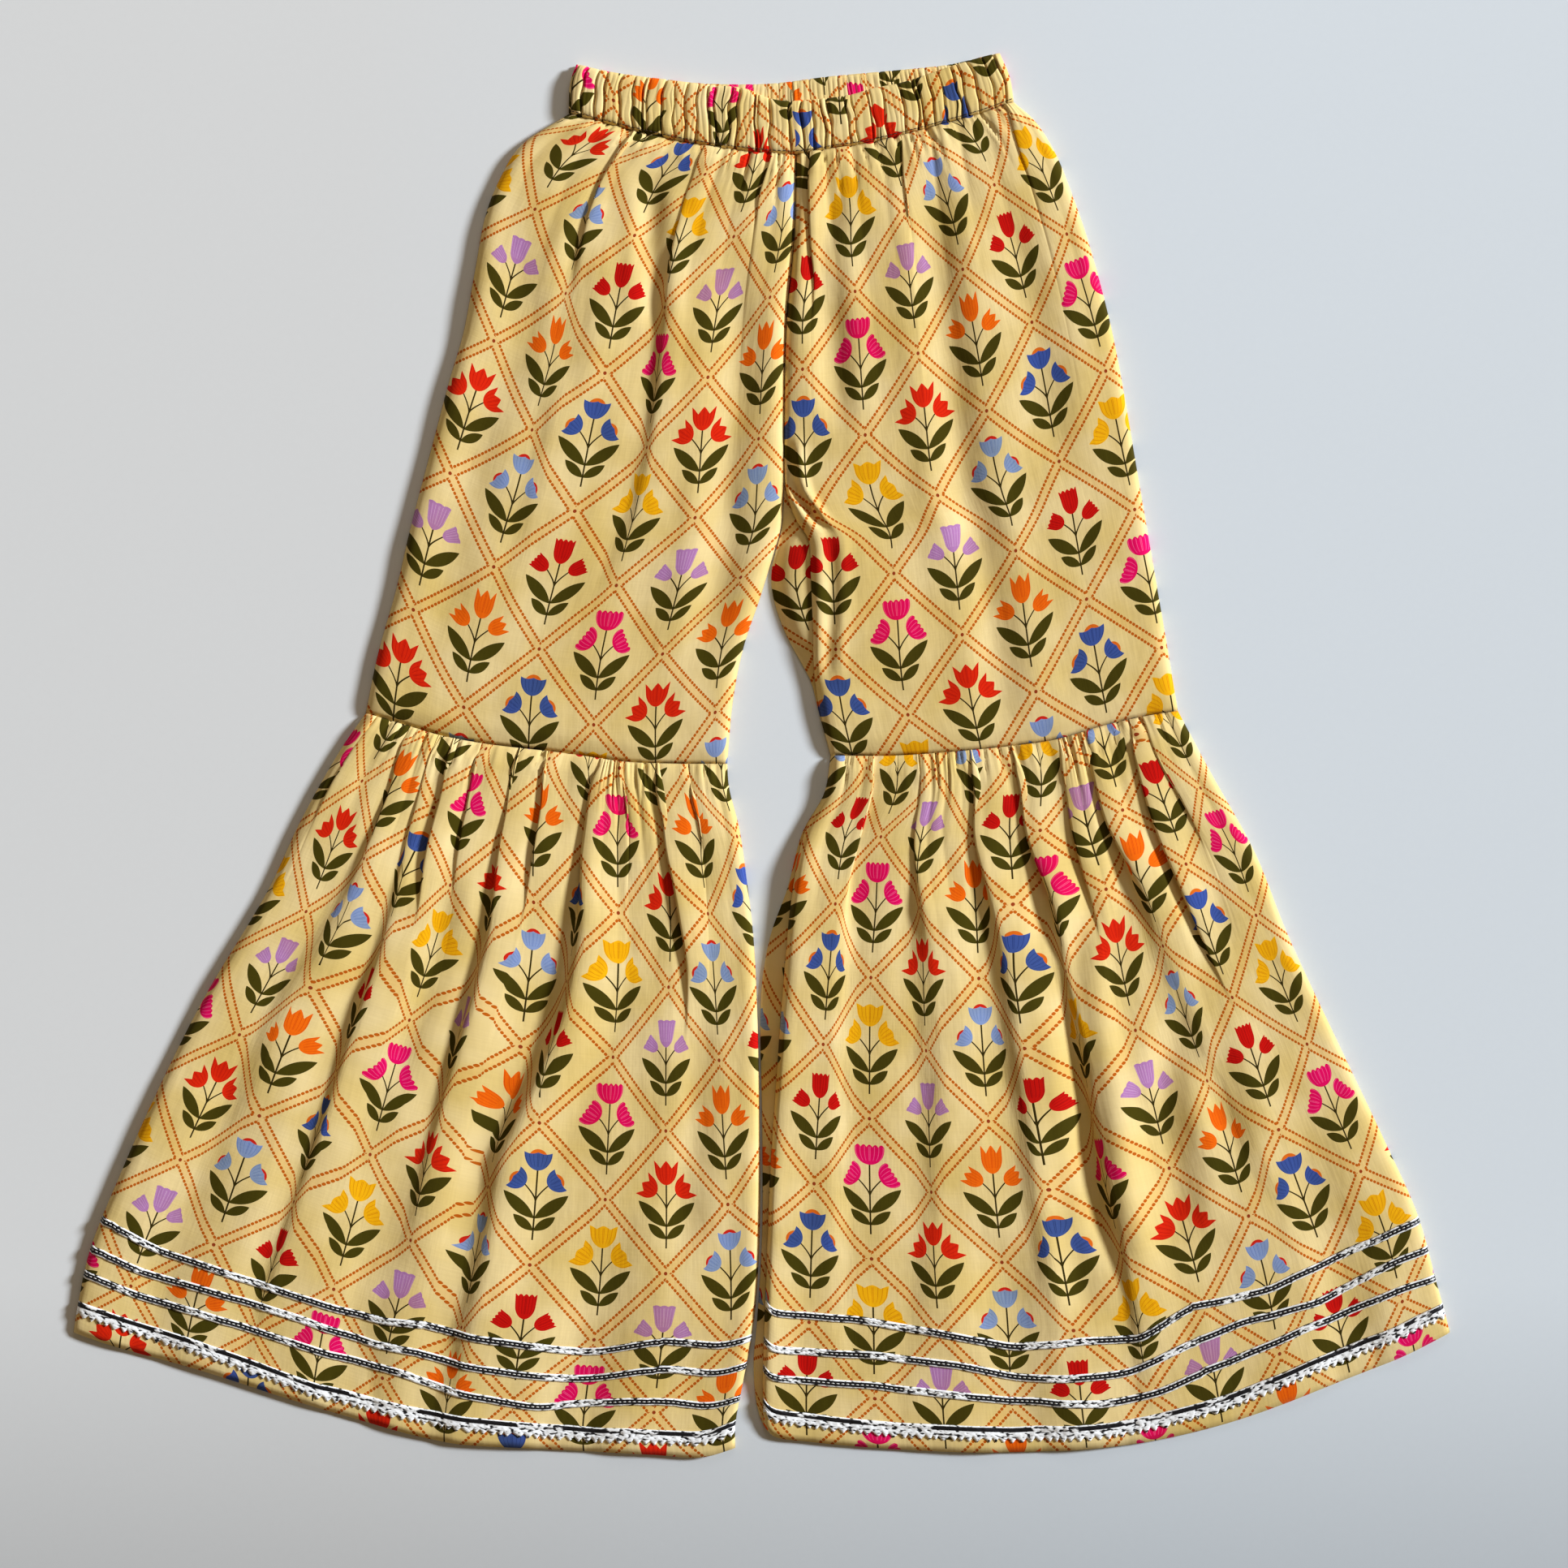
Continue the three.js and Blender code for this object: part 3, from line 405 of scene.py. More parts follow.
# Where each trim runs down its tier, as (across, down) shares: three ribbons, then the lace
TRIMS = {
    "tier_left": [
        ((0.00, 0.828), (0.10, 0.848), (0.24, 0.854), (0.44, 0.856), (0.51, 0.845), (0.64, 0.852),
         (0.76, 0.859), (0.87, 0.834), (1.00, 0.837)),
        ((0.00, 0.873), (0.09, 0.885), (0.33, 0.884), (0.44, 0.890), (0.51, 0.885), (0.67, 0.896),
         (0.76, 0.898), (0.88, 0.874), (1.00, 0.878)),
        ((0.00, 0.911), (0.09, 0.919), (0.40, 0.921), (0.49, 0.918), (0.58, 0.929), (0.70, 0.941),
         (0.79, 0.929), (0.89, 0.921), (1.00, 0.927)),
        ((0.00, 0.960), (0.17, 0.965), (0.36, 0.973), (0.56, 0.967), (0.79, 0.973), (1.00, 0.967)),
    ],
    "tier_right": [
        ((0.00, 0.818), (0.14, 0.817), (0.26, 0.834), (0.38, 0.854), (0.47, 0.849), (0.555, 0.857),
         (0.64, 0.828), (0.76, 0.840), (0.90, 0.827), (1.00, 0.827)),
        ((0.00, 0.871), (0.17, 0.867), (0.29, 0.878), (0.39, 0.898), (0.53, 0.902), (0.63, 0.878),
         (0.70, 0.870), (0.82, 0.882), (0.93, 0.867), (1.00, 0.872)),
        ((0.00, 0.913), (0.17, 0.910), (0.34, 0.925), (0.50, 0.940), (0.58, 0.935), (0.65, 0.919),
         (0.80, 0.911), (0.93, 0.907), (1.00, 0.916)),
        ((0.00, 0.965), (0.28, 0.970), (0.50, 0.974), (0.64, 0.969), (0.84, 0.962), (1.00, 0.962)),
    ],
}
BACK_TRIM_ROWS = (0.832, 0.880, 0.920, 0.968)
BACK_TRIM = dict(sag=0.008, top=0.14, wall=0.1)

# Blooms of the print, one row for each kind: width and height in millimetres, how far up the stem
# its base is, how much of its height the rounded base takes and how full that is, how much
# narrower it is below its top, the depth, number and sharpness of the points along the top, the
# size of the side blooms, whether a half disc shows behind it, and three colours
BLOOM_COLUMNS = (
    "width", "height", "head", "side", "belly", "slim", "depth", "points", "flare", "sharp", "disc",
    "petal", "streak", "heart",
)
BLOOM_ROWS = (
    (
        13.2, 9.0, 11.8, 0.90, 0.90, 0.50, 0.09, 2, 0.06, 1.0, 1,
        (60, 82, 156), (44, 62, 128), (218, 104, 24),
    ),
    (
        13.6, 12.0, 8.6, 0.93, 0.55, 0.50, 0.30, 2, 0.26, 0.4, 0,
        (216, 36, 6), (184, 20, 4), (216, 36, 6),
    ),
    (
        15.0, 11.2, 11.0, 0.90, 0.60, 0.50, 0.15, 2, 0.24, 0.2, 0,
        (238, 172, 10), (210, 134, 4), (238, 172, 10),
    ),
    (
        12.2, 9.0, 12.6, 0.90, 0.90, 0.50, 0.09, 2, 0.08, 1.0, 1,
        (132, 150, 196), (106, 126, 180), (204, 36, 20),
    ),
    (
        9.8, 12.6, 8.2, 0.82, 0.50, 0.50, 0.09, 4, 0.16, 0.0, 0,
        (196, 14, 6), (150, 4, 4), (196, 14, 6),
    ),
    (
        11.6, 13.6, 5.8, 0.72, 0.35, 0.60, 0.04, 3, 0.42, 0.0, 0,
        (172, 118, 170), (198, 154, 194), (172, 118, 170),
    ),
    (
        14.6, 10.2, 12.2, 0.90, 0.75, 0.50, 0.12, 5, 0.00, 0.0, 0,
        (222, 6, 92), (240, 84, 140), (222, 6, 92),
    ),
    (
        10.2, 14.2, 9.2, 0.84, 0.55, 0.52, 0.28, 2, 0.02, 0.3, 0,
        (236, 102, 8), (212, 76, 4), (236, 102, 8),
    ),
)
BLOOMS = [dict(zip(BLOOM_COLUMNS, row)) for row in BLOOM_ROWS]

# The largest value of each measure above, which the print's ramps are scaled by
RAMP_SCALE = dict(
    width=16, height=16, head=16, side=1, belly=1, slim=1, depth=1, points=6, flare=1, sharp=1, disc=1,
)

# The sprig under the blooms, in millimetres up from the middle of its cell
SPRIG = dict(
    foot=-23, small_joint=-18.3, big_joint=-12.2, side_joint=-3.2, side_across=5.3, side_up=4.4,
    side_turn=58, stem=0.40,
)
LEAVES = [
    dict(joint="big_joint", length=19.6, width=6.0, lean=50),
    dict(joint="small_joint", length=12.2, width=4.6, lean=52),
]


def share(value, low=0.0, high=1.0):
    return np.clip(value, low, high)


def ease(value):
    t = share(value)
    return t * t * (3 - 2 * t)


def round_off(distance, radius):
    """Quarter round: 0 at the edge and 1 from one radius in."""
    t = 1 - share(distance / radius)
    return np.sqrt(1 - t * t)


def crumple(across, down, size, seed):
    """Smooth uneven relief from -1 to 1, with lumps of the given size."""
    cells = 64
    heights = np.random.default_rng(seed).uniform(-1, 1, (cells, cells))
    a = np.asarray(across) / size
    b = np.asarray(down) / size
    i = np.floor(a).astype(int)
    j = np.floor(b).astype(int)
    fa = ease(a - i)
    fb = ease(b - j)
    near = heights[i % cells, j % cells] * (1 - fa) + heights[(i + 1) % cells, j % cells] * fa
    far = heights[i % cells, (j + 1) % cells] * (1 - fa) + heights[(i + 1) % cells, (j + 1) % cells] * fa
    return near * (1 - fb) + far * fb


def gathers(along, down, spacing, seed, crisp=0.75):
    """Rounded ridges with narrow valleys between them, unevenly spaced, from 0 to 1."""
    wander = 0.42 * crumple(along, down * 0.25, spacing * 2.1, seed)
    strength = 0.68 + 0.32 * crumple(along, down * 0.2, spacing * 1.6, seed + 1)
    return strength * np.abs(np.sin(math.pi * (along / spacing + wander))) ** crisp


def tucks(along, down, spacing, seed):
    """Pillows of cloth between narrow valleys, unevenly spaced: the height from 0 to 1, how far
    a point is from the middle of its pillow and how long the tucks beside it reach, from 0 to 1."""
    pick = np.random.default_rng(seed)
    count = int(np.max(along) / spacing) + 4
    valleys = (np.arange(count) - 1 + pick.uniform(-0.45, 0.45, count)) * spacing
    depths = pick.uniform(0.25, 1, count)
    place = along + 0.16 * spacing * crumple(along, down * 0.8, spacing * 1.3, seed + 1)
    n = np.clip(np.searchsorted(valleys, place) - 1, 0, count - 2)
    gap = valleys[n + 1] - valleys[n]
    t = (place - valleys[n]) / gap - 0.5
    depth = np.where(t < 0, depths[n], depths[n + 1])
    pillow = 1 - depth * np.abs(2 * t) ** np.clip(gap * 1.6, 3, 12)
    return pillow, t * gap, depth


class Curve:
    """A smooth curve through its points, read by its share of the way along."""

    STEPS = 24

    def __init__(self, points):
        corners = np.array(points, float)
        ends = np.vstack([2 * corners[0] - corners[1], corners, 2 * corners[-1] - corners[-2]])
        pieces = [self.between(ends[n : n + 4]) for n in range(len(corners) - 1)]
        self.points = np.vstack(pieces + [corners[-1:]])
        steps = np.linalg.norm(np.diff(self.points, axis=0), axis=1)
        self.along = np.concatenate([[0], np.cumsum(steps)])
        self.length = self.along[-1]

    def between(self, four):
        gaps = np.sqrt(np.linalg.norm(np.diff(four, axis=0), axis=1))
        t0, t1, t2, t3 = np.concatenate([[0], np.cumsum(gaps)])
        p0, p1, p2, p3 = four
        t = np.linspace(t1, t2, self.STEPS, endpoint=False)[:, None]
        a1 = ((t1 - t) * p0 + (t - t0) * p1) / (t1 - t0)
        a2 = ((t2 - t) * p1 + (t - t1) * p2) / (t2 - t1)
        a3 = ((t3 - t) * p2 + (t - t2) * p3) / (t3 - t2)
        b1 = ((t2 - t) * a1 + (t - t0) * a2) / (t2 - t0)
        b2 = ((t3 - t) * a2 + (t - t1) * a3) / (t3 - t1)
        return ((t2 - t) * b1 + (t - t1) * b2) / (t2 - t1)

    def at(self, way):
        distance = np.asarray(way) * self.length
        x = np.interp(distance, self.along, self.points[:, 0])
        y = np.interp(distance, self.along, self.points[:, 1])
        return np.stack([x, y], axis=-1)


class Panel:
    """The sheet stretched between four outlines: u runs from left to right and v down."""

    def __init__(self, top, bottom, left, right):
        self.top, self.bottom, self.left, self.right = (
            Curve(OUTLINES[name]) for name in (top, bottom, left, right)
        )
        self.length = (self.left.length + self.right.length) / 2

    def width(self, v):
        return np.linalg.norm(self.left.at(v) - self.right.at(v), axis=-1)

    def at(self, u, v):
        s = u[..., None]
        t = v[..., None]
        sheet = (1 - t) * self.top.at(u) + t * self.bottom.at(u)
        sheet = sheet + (1 - s) * self.left.at(v) + s * self.right.at(v)
        corners = (1 - s) * ((1 - t) * self.top.at(0) + t * self.bottom.at(0))
        corners = corners + s * ((1 - t) * self.top.at(1) + t * self.bottom.at(1))
        return sheet - corners


PANELS = {
    "leg_left": ("waist_left", "knee_left", "side_left", "middle_left"),
    "leg_right": ("waist_right", "knee_right", "middle_right", "side_right"),
    "leg_right_back": ("waist_right", "knee_right", "middle_right_back", "side_right"),
    "tier_left": ("knee_left", "hem_left", "flare_left", "inner_left"),
    "tier_right": ("knee_right", "hem_right", "inner_right", "flare_right"),
    "tier_right_back": ("knee_right", "hem_right", "inner_right_back", "flare_right"),
    "casing_front": ("casing_front_top", "waist", "casing_left_end", "casing_right_end"),
    "casing_back": ("casing_back_top", "waist", "casing_left_end", "casing_right_end"),
}


def smooth(line, reach):
    """The same line with its corners rounded over a number of steps to each side."""
    blur = np.hanning(2 * reach + 1)
    padded = np.concatenate([np.full(reach, line[0]), line, np.full(reach, line[-1])])
    return np.convolve(padded, blur / blur.sum(), mode="valid")


def path_at(path, v):
    """Where a crease lies across its panel, with no corners on its way down."""
    fine = np.linspace(0, 1.1, 221)
    return np.interp(v, fine, smooth(np.interp(fine, *zip(*path)), 7))


def pleat_share(pleat, v, length):
    """How much of a pleat is left: held by the seam, then full, then gone."""
    bloom = HELD_SHARE + (1 - HELD_SHARE) * ease(v * length / OPEN_OUT)
    if "hold" in pleat:
        downs, shares = zip(*pleat["hold"])
        return bloom * np.interp(v, downs, shares)
    start = pleat["reach"] * PLEAT_HOLD
    return bloom * (1 - ease((v - start) / (pleat["reach"] - start)))


def fold_width(pleat, v, length):
    """How wide the turned cloth is: narrow under a pleat, wide along a soft fold."""
    if "hold" not in pleat:
        return FOLD_OPEN + 0 * v
    soft = ease((v * length - SOFT_START) / (SOFT_FULL - SOFT_START))
    return FOLD_OPEN + (pleat.get("soft", SOFT_OPEN) - FOLD_OPEN) * soft


def grain_at(key, u, v):
    """The print's place at a point of a panel, in millimetres of flat cloth across and down."""
    cell = bpy.context.scene.pants_print
    sizes = (cell.cell_width * 500, cell.cell_height * 500)
    places = []
    for axis, size in zip(("across", "down"), sizes):
        g = GRAIN[key][axis]
        count = g["start"] + g["across"] * u + g["down"] * v + g["both"] * u * v
        places.append((count + g["bow_u"] * u * u + g["bow_v"] * v * v) * size)
    return places


class Layout:
    """The grid of a gathered panel, whose columns follow its pleats down the cloth."""

    def __init__(self, key, panel, pleats, column_step, rows):
        self.v = rows[:, None]
        width = panel.width(rows)
        places = [np.zeros(len(rows))]
        opens = [np.zeros(len(rows))]
        amounts = [np.zeros(len(rows))]
        for pleat in pleats:
            places.append(path_at(pleat["path"], rows))
            opens.append(fold_width(pleat, rows, panel.length) / width)
            amounts.append(pleat["hidden"] * pleat_share(pleat, rows, panel.length))
        places.append(np.ones(len(rows)))
        opens.append(np.zeros(len(rows)))
        amounts.append(np.zeros(len(rows)))
        columns = []
        hidden = []
        folds = []
        for k in range(len(places) - 1):
            low = places[k] + opens[k] / 2
            high = places[k + 1] - opens[k + 1] / 2
            count = max(2, round((high[-1] - low[-1]) * width[-1] / column_step))
            shares = list(np.linspace(0, 1, count + 1))
            if k == 0:
                shares += [inset / (high[-1] - low[-1]) / width[-1] for inset in EDGE_COLUMNS]
            if k + 2 == len(places):
                shares += [1 - inset / (high[-1] - low[-1]) / width[-1] for inset in EDGE_COLUMNS]
            for t in sorted(shares):
                columns.append(low + (high - low) * t)
                hidden.append(amounts[k] / 2 * (1 - t) - amounts[k + 1] / 2 * t)
                folds.append((-1, 0.0))
            if k + 2 < len(places):
                for p in np.linspace(0, 1, FOLD_COLUMNS + 1)[1:-1]:
                    columns.append(places[k + 1] + opens[k + 1] * (p - 0.5))
                    hidden.append(amounts[k + 1] * (p - 0.5))
                    folds.append((k, p))
        self.u = np.stack(columns, axis=1)
        self.hidden = np.stack(hidden, axis=1)
        self.folds = folds
        self.width = width[:, None]
        self.v = np.broadcast_to(self.v, self.u.shape)
        self.along = np.linspace(0, 1, self.u.shape[1])
        across, down = grain_at(key, self.u, self.v)
        self.cloth = np.stack([across + self.hidden, down], axis=-1)


def pleat_relief(layout, pleats, length):
    """Height of the laps, and how far each point is drawn sideways under its fold."""
    height = np.zeros(layout.u.shape)
    draw = np.zeros(layout.u.shape)
    for number, pleat in enumerate(pleats):
        left = pleat_share(pleat, layout.v, length)
        held = pleat.get("held", SEAM_RISE)
        free = held + (FREE_RISE - held) * ease(layout.v * length / FREE_FROM)
        rise = abs(pleat["rise"]) * left * free
        side = 1 if pleat["rise"] > 0 else -1
        wide = fold_width(pleat, layout.v, length)
        away = (layout.u - path_at(pleat["path"], layout.v)) * layout.width * side
        lap = rise * (1 - ease((away - wide / 2) / (LAP_WIDTH + wide)))
        hollow = -HOLLOW_SHARE * rise * (1 - ease((-away - wide / 2) / (HOLLOW_WIDTH + wide)))
        part = ease(away / wide + 0.5)
        height += lap * part + hollow * (1 - part)
        inside = np.array([p if fold == number else 0 for fold, p in layout.folds])
        reach = 0.42 * pleat["hidden"] * left**1.5 * FOLD_OPEN / wide
        draw += reach * 0.5 * np.sin(2 * math.pi * inside)
    return height, draw


def fold_relief(layout, folds):
    height = np.zeros(layout.u.shape)
    for fold in folds:
        start = fold["path"][0][0]
        end = fold["path"][-1][0]
        t = (layout.v - start) / (end - start)
        strength = ease(t * 4) * ease((1 - t) * 4)
        away = (layout.u - path_at(fold["path"], layout.v)) * layout.width / fold["width"]
        swell = np.exp(-((away - 1.8) ** 2)) + np.exp(-((away + 1.8) ** 2))
        height += fold["depth"] * strength * (0.5 * swell - np.exp(-(away**2)))
    return height


def sideways(points, draw):
    """Moves points along their row by the given distances."""
    step = np.gradient(points, axis=1)[..., :2]
    step /= np.maximum(np.linalg.norm(step, axis=-1, keepdims=True), 1e-9)
    points[..., :2] += step * draw[..., None]


def loose_share(key, v):
    """How far a loose edge stands free at each height: 1 along its middle, 0 at its ends."""
    edge = LOOSE_EDGES[key]
    return ease((v - edge["start"]) / LOOSE_START) * ease((edge["end"] - v) / LOOSE_END)


def front_points(key, panel, layout, gather, below):
    """Points of a front panel's upper face. gather says how the cloth is drawn up at its top,
    below whether its lower edge is a free hem or another seam."""
    u, v, width = layout.u, layout.v, layout.width
    length = panel.length
    from_side = np.minimum(u, 1 - u) * width
    from_top = v * length
    from_bottom = (1 - v) * length
    side = round_off(from_side, EDGE_ROUND)
    top = SEAM_LIFT + (1 - SEAM_LIFT) * ease(from_top / SEAM_HOLD)
    if below == "hem":
        low = 1 - (1 - HEM_LIFT) * ease((v - HEM_START) / (1 - HEM_START))
    else:
        low = SEAM_LIFT + (1 - SEAM_LIFT) * ease(from_bottom / SEAM_HOLD)
    laps, draw = pleat_relief(layout, PLEATS[key], length)
    relief = laps + fold_relief(layout, FOLDS[key])
    for ridge in gather:
        drawn = gathers(layout.along * ridge["run"], from_top, ridge["spacing"], ridge["seed"])
        fade = np.exp(-((from_top / ridge["reach"]) ** 1.3))
        relief = relief + ridge["rise"] * (drawn - 0.4) * fade
    run = u * panel.top.length
    pillow, inside, depth = tucks(run, from_top, TUCKS["spacing"], len(key))
    fade = np.exp(-((from_top / (TUCKS["reach"] * depth)) ** 2))
    relief = relief + TUCKS["rise"] * (pillow - 0.8) * fade
    layout.cloth[..., 0] -= TUCKS["hidden"] * inside * fade
    cloth = layout.cloth
    for wrinkle in WRINKLES:
        down = cloth[..., 1] * wrinkle["squash"]
        relief = relief + wrinkle["rise"] * crumple(cloth[..., 0], down, wrinkle["size"], wrinkle["seed"])
    fold = SIDE_FOLD
    height = FRONT_TOP + np.maximum(0.0, CROWN * side * np.minimum(top, low) + relief * side)
    if key in LOOSE_EDGES:
        edge = LOOSE_EDGES[key]
        loose = loose_share(key, v)
        from_edge = np.abs(u - edge["side"]) * width
        height += edge["lift"] * loose * (1 - ease(from_edge / edge["reach"]))
        fold = fold + edge["stand"] * loose * (1 - ease(from_edge / EDGE_REACH))
        height = np.maximum(height, fold)
    height = fold + (height - fold) * round_off(from_side, SIDE_ROUND)
    height -= SEAM_DITCH * (1 - ease(from_top / DITCH_WIDTH))
    if below == "hem":
        height -= HEM_DROP * (1 - ease(from_bottom / HEM_WIDTH))
    else:
        height -= SEAM_DITCH * (1 - ease(from_bottom / DITCH_WIDTH))
    height = np.maximum(height, LOWEST)
    points = np.concatenate([panel.at(u, v), height[..., None]], axis=-1)
    sideways(points, draw * side)
    return points


def new_object(name, data):
    item = bpy.data.objects.new(name, data)
    bpy.context.scene.collection.objects.link(item)
    return item


def new_mesh(name, shape):
    mesh = bpy.data.meshes.new(name)
    shape.to_mesh(mesh)
    shape.free()
    return mesh


def cloth_mesh(name, points, cloth):
    """One sheet of cloth from a grid of points, with the cloth's own place as its UV map."""
    rows, columns = points.shape[:2]
    sheet = bmesh.new()
    bmesh.ops.create_grid(sheet, x_segments=columns - 1, y_segments=rows - 1, size=0.5)
    mesh = new_mesh(name, sheet)
    flat = np.empty(len(mesh.vertices) * 3, np.float32)
    mesh.vertices.foreach_get("co", flat)
    flat = flat.reshape(-1, 3)
    row = np.rint((0.5 - flat[:, 1]) * (rows - 1)).astype(int)
    column = np.rint((flat[:, 0] + 0.5) * (columns - 1)).astype(int)
    place = points[row, column] * MM
    mesh.vertices.foreach_set("co", place.astype(np.float32).ravel())
    layer = mesh.uv_layers.new(name="Cloth")
    corner = np.empty(len(mesh.loops), np.int32)
    mesh.loops.foreach_get("vertex_index", corner)
    spot = (cloth[row, column] * MM)[corner]
    layer.uv.foreach_set("vector", spot.astype(np.float32).ravel())
    mesh.polygons.foreach_set("use_smooth", np.ones(len(mesh.polygons), bool))
    mesh.update()
    return mesh


def add_cloth(name, points, cloth, material, thickness, node=None):
    """A sheet with its own thickness, riding on the pants and standing for a solid."""
    name = name + "_cloth"
    mesh = cloth_mesh(name, points, cloth)
    mesh.materials.append(material)
    piece = new_object(name, mesh)
    wall = piece.modifiers.new("Cloth thickness", "SOLIDIFY")
    wall.thickness = thickness * MM
    wall.offset = -1
    wall.use_even_offset = False
    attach(piece, "root")
    if node:
        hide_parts(node)
    return piece


def paint(red, green, blue):
    """A colour named on the usual 0 to 255 scale, as the shader reads it."""
    def linear(part):
        part = part / 255
        return part / 12.92 if part <= 0.04045 else ((part + 0.055) / 1.055) ** 2.4

    return (linear(red), linear(green), linear(blue), 1.0)


def set_input(tree, node, name, value):
    """Links an input of a node to a field or a socket, or gives it a fixed value."""
    if isinstance(value, Field):
        value = value.socket
    if isinstance(value, bpy.types.NodeSocket):
        tree.links.new(value, node.inputs[name])
    else:
        node.inputs[name].default_value = value


def set_inputs(tree, node, values):
    for name, value in values.items():
        set_input(tree, node, name, value)


def add_node(tree, kind, values):
    """A shader node with its inputs, each named or numbered."""
    node = tree.nodes.new(kind)
    set_inputs(tree, node, values)
    return node


class Field:
    """A number that changes over the surface, worked out by math nodes."""

    def __init__(self, tree, socket):
        self.tree = tree
        self.socket = socket

    def math(self, operation, *others):
        node = self.tree.nodes.new("ShaderNodeMath")
        node.operation = operation
        set_inputs(self.tree, node, dict(enumerate((self, *others))))
        return Field(self.tree, node.outputs[0])

    def __add__(self, other):
        return self.math("ADD", other)

    def __sub__(self, other):
        return self.math("SUBTRACT", other)

    def __rsub__(self, other):
        return self.math("MULTIPLY_ADD", -1.0, other)

    def __mul__(self, other):
        return self.math("MULTIPLY", other)

    def __truediv__(self, other):
        return self.math("DIVIDE", other)

    def __pow__(self, other):
        return self.math("POWER", other)

    def __abs__(self):
        return self.math("ABSOLUTE")

    __radd__ = __add__
    __rmul__ = __mul__

    def clamp(self, low=0.0, high=1.0):
        return self.math("MAXIMUM", low).math("MINIMUM", high)

    def below(self, other):
        return self.math("LESS_THAN", other)

    def above(self, other):
        return self.math("GREATER_THAN", other)

    def between(self, other, mix):
        """This number where mix is 0 and the other, a field too, where mix is 1."""
        return self + (other - self) * mix


def size_of(a, b):
    return (a * a + b * b).math("SQRT")


def mix_colours(tree, factor, below, above):
    """below where the factor is 0 and above where it is 1. Each is a socket or a fixed colour."""
    node = tree.nodes.new("ShaderNodeMix")
    node.data_type = "RGBA"
    set_input(tree, node, "Factor", factor)
    for name, colour in (("A", below), ("B", above)):
        socket = next(s for s in node.inputs if s.name == name and s.type == "RGBA")
        if isinstance(colour, bpy.types.NodeSocket):
            tree.links.new(colour, socket)
        else:
            socket.default_value = colour
    return next(s for s in node.outputs if s.type == "RGBA")


def kind_ramp(tree, kind, values):
    """Looks up one colour, or three numbers, for each kind of bloom."""
    ramp = tree.nodes.new("ShaderNodeValToRGB")
    ramp.color_ramp.interpolation = "CONSTANT"
    stops = ramp.color_ramp.elements
    while len(stops) < len(values):
        stops.new(1.0)
    for number, value in enumerate(values):
        stops[number].position = number / len(values)
        stops[number].color = value
    set_input(tree, ramp, 0, (kind + 0.5) / len(values))
    return ramp.outputs[0]


def kind_measures(tree, kind, names):
    """Up to four of the blooms' measures for the kind at each point."""
    values = [tuple(bloom[name] / RAMP_SCALE[name] for name in names) for bloom in BLOOMS]
    ramp = kind_ramp(tree, kind, [value + (1.0,) * (4 - len(value)) for value in values])
    split = add_node(tree, "ShaderNodeSeparateColor", {0: ramp})
    sockets = [*split.outputs, ramp.node.outputs["Alpha"]]
    return [Field(tree, socket) * RAMP_SCALE[name] for name, socket in zip(names, sockets)]


def lattice_fields(tree, cloth, cell_width, cell_height):
    """Where a point lies in its diamond cell: the kind of bloom, the place in millimetres from the
    cell's middle, the distances to the cell's edges and the place along them."""
    split = add_node(tree, "ShaderNodeSeparateXYZ", {0: cloth})
    p = Field(tree, split.outputs[0]) / cell_width
    q = Field(tree, split.outputs[1]) / cell_height
    m = p + q
    n = q - p
    row = m.math("ROUND")
    column = n.math("ROUND")
    dm = m - row
    dn = n - column
    millimetres = cell_width * 1000
    tall = cell_height * 1000
    x = (dm - dn) * 0.5 * millimetres
    y = (dm + dn) * -0.5 * tall
    pitch = (millimetres * tall) / size_of(millimetres, tall)
    edge_m = (0.5 - abs(dm)) * pitch
    edge_n = (0.5 - abs(dn)) * pitch
    side = size_of(millimetres, tall) * 0.5
    down = (row + column).math("FLOORED_MODULO", 4.0)
    across = ((row - column) * 0.5).math("FLOOR").math("FLOORED_MODULO", 2.0)
    kind = down * 2 + across
    return dict(x=x, y=y, m=m * side, n=n * side, edge_m=edge_m, edge_n=edge_n, kind=kind)


def dashed_lattice(place):
    """Masks of the pale channel between cells, the dashed lines beside it and the crossing dots."""
    nearest = place["edge_m"].math("MINIMUM", place["edge_n"])
    other = place["edge_m"].math("MAXIMUM", place["edge_n"])
    along_m = place["edge_m"].below(place["edge_n"])
    run = place["m"].between(place["n"], along_m)
    channel = nearest.below(2.5)
    off_line = (nearest - 2.05) / 0.70
    off_dash = ((run / 2.0).math("FRACT") - 0.5) / 0.42
    dash = (off_line**2.0 + abs(off_dash) ** 3.0).below(1.0)
    dot = size_of(nearest, other).below(0.9)
    return channel, dash, dot


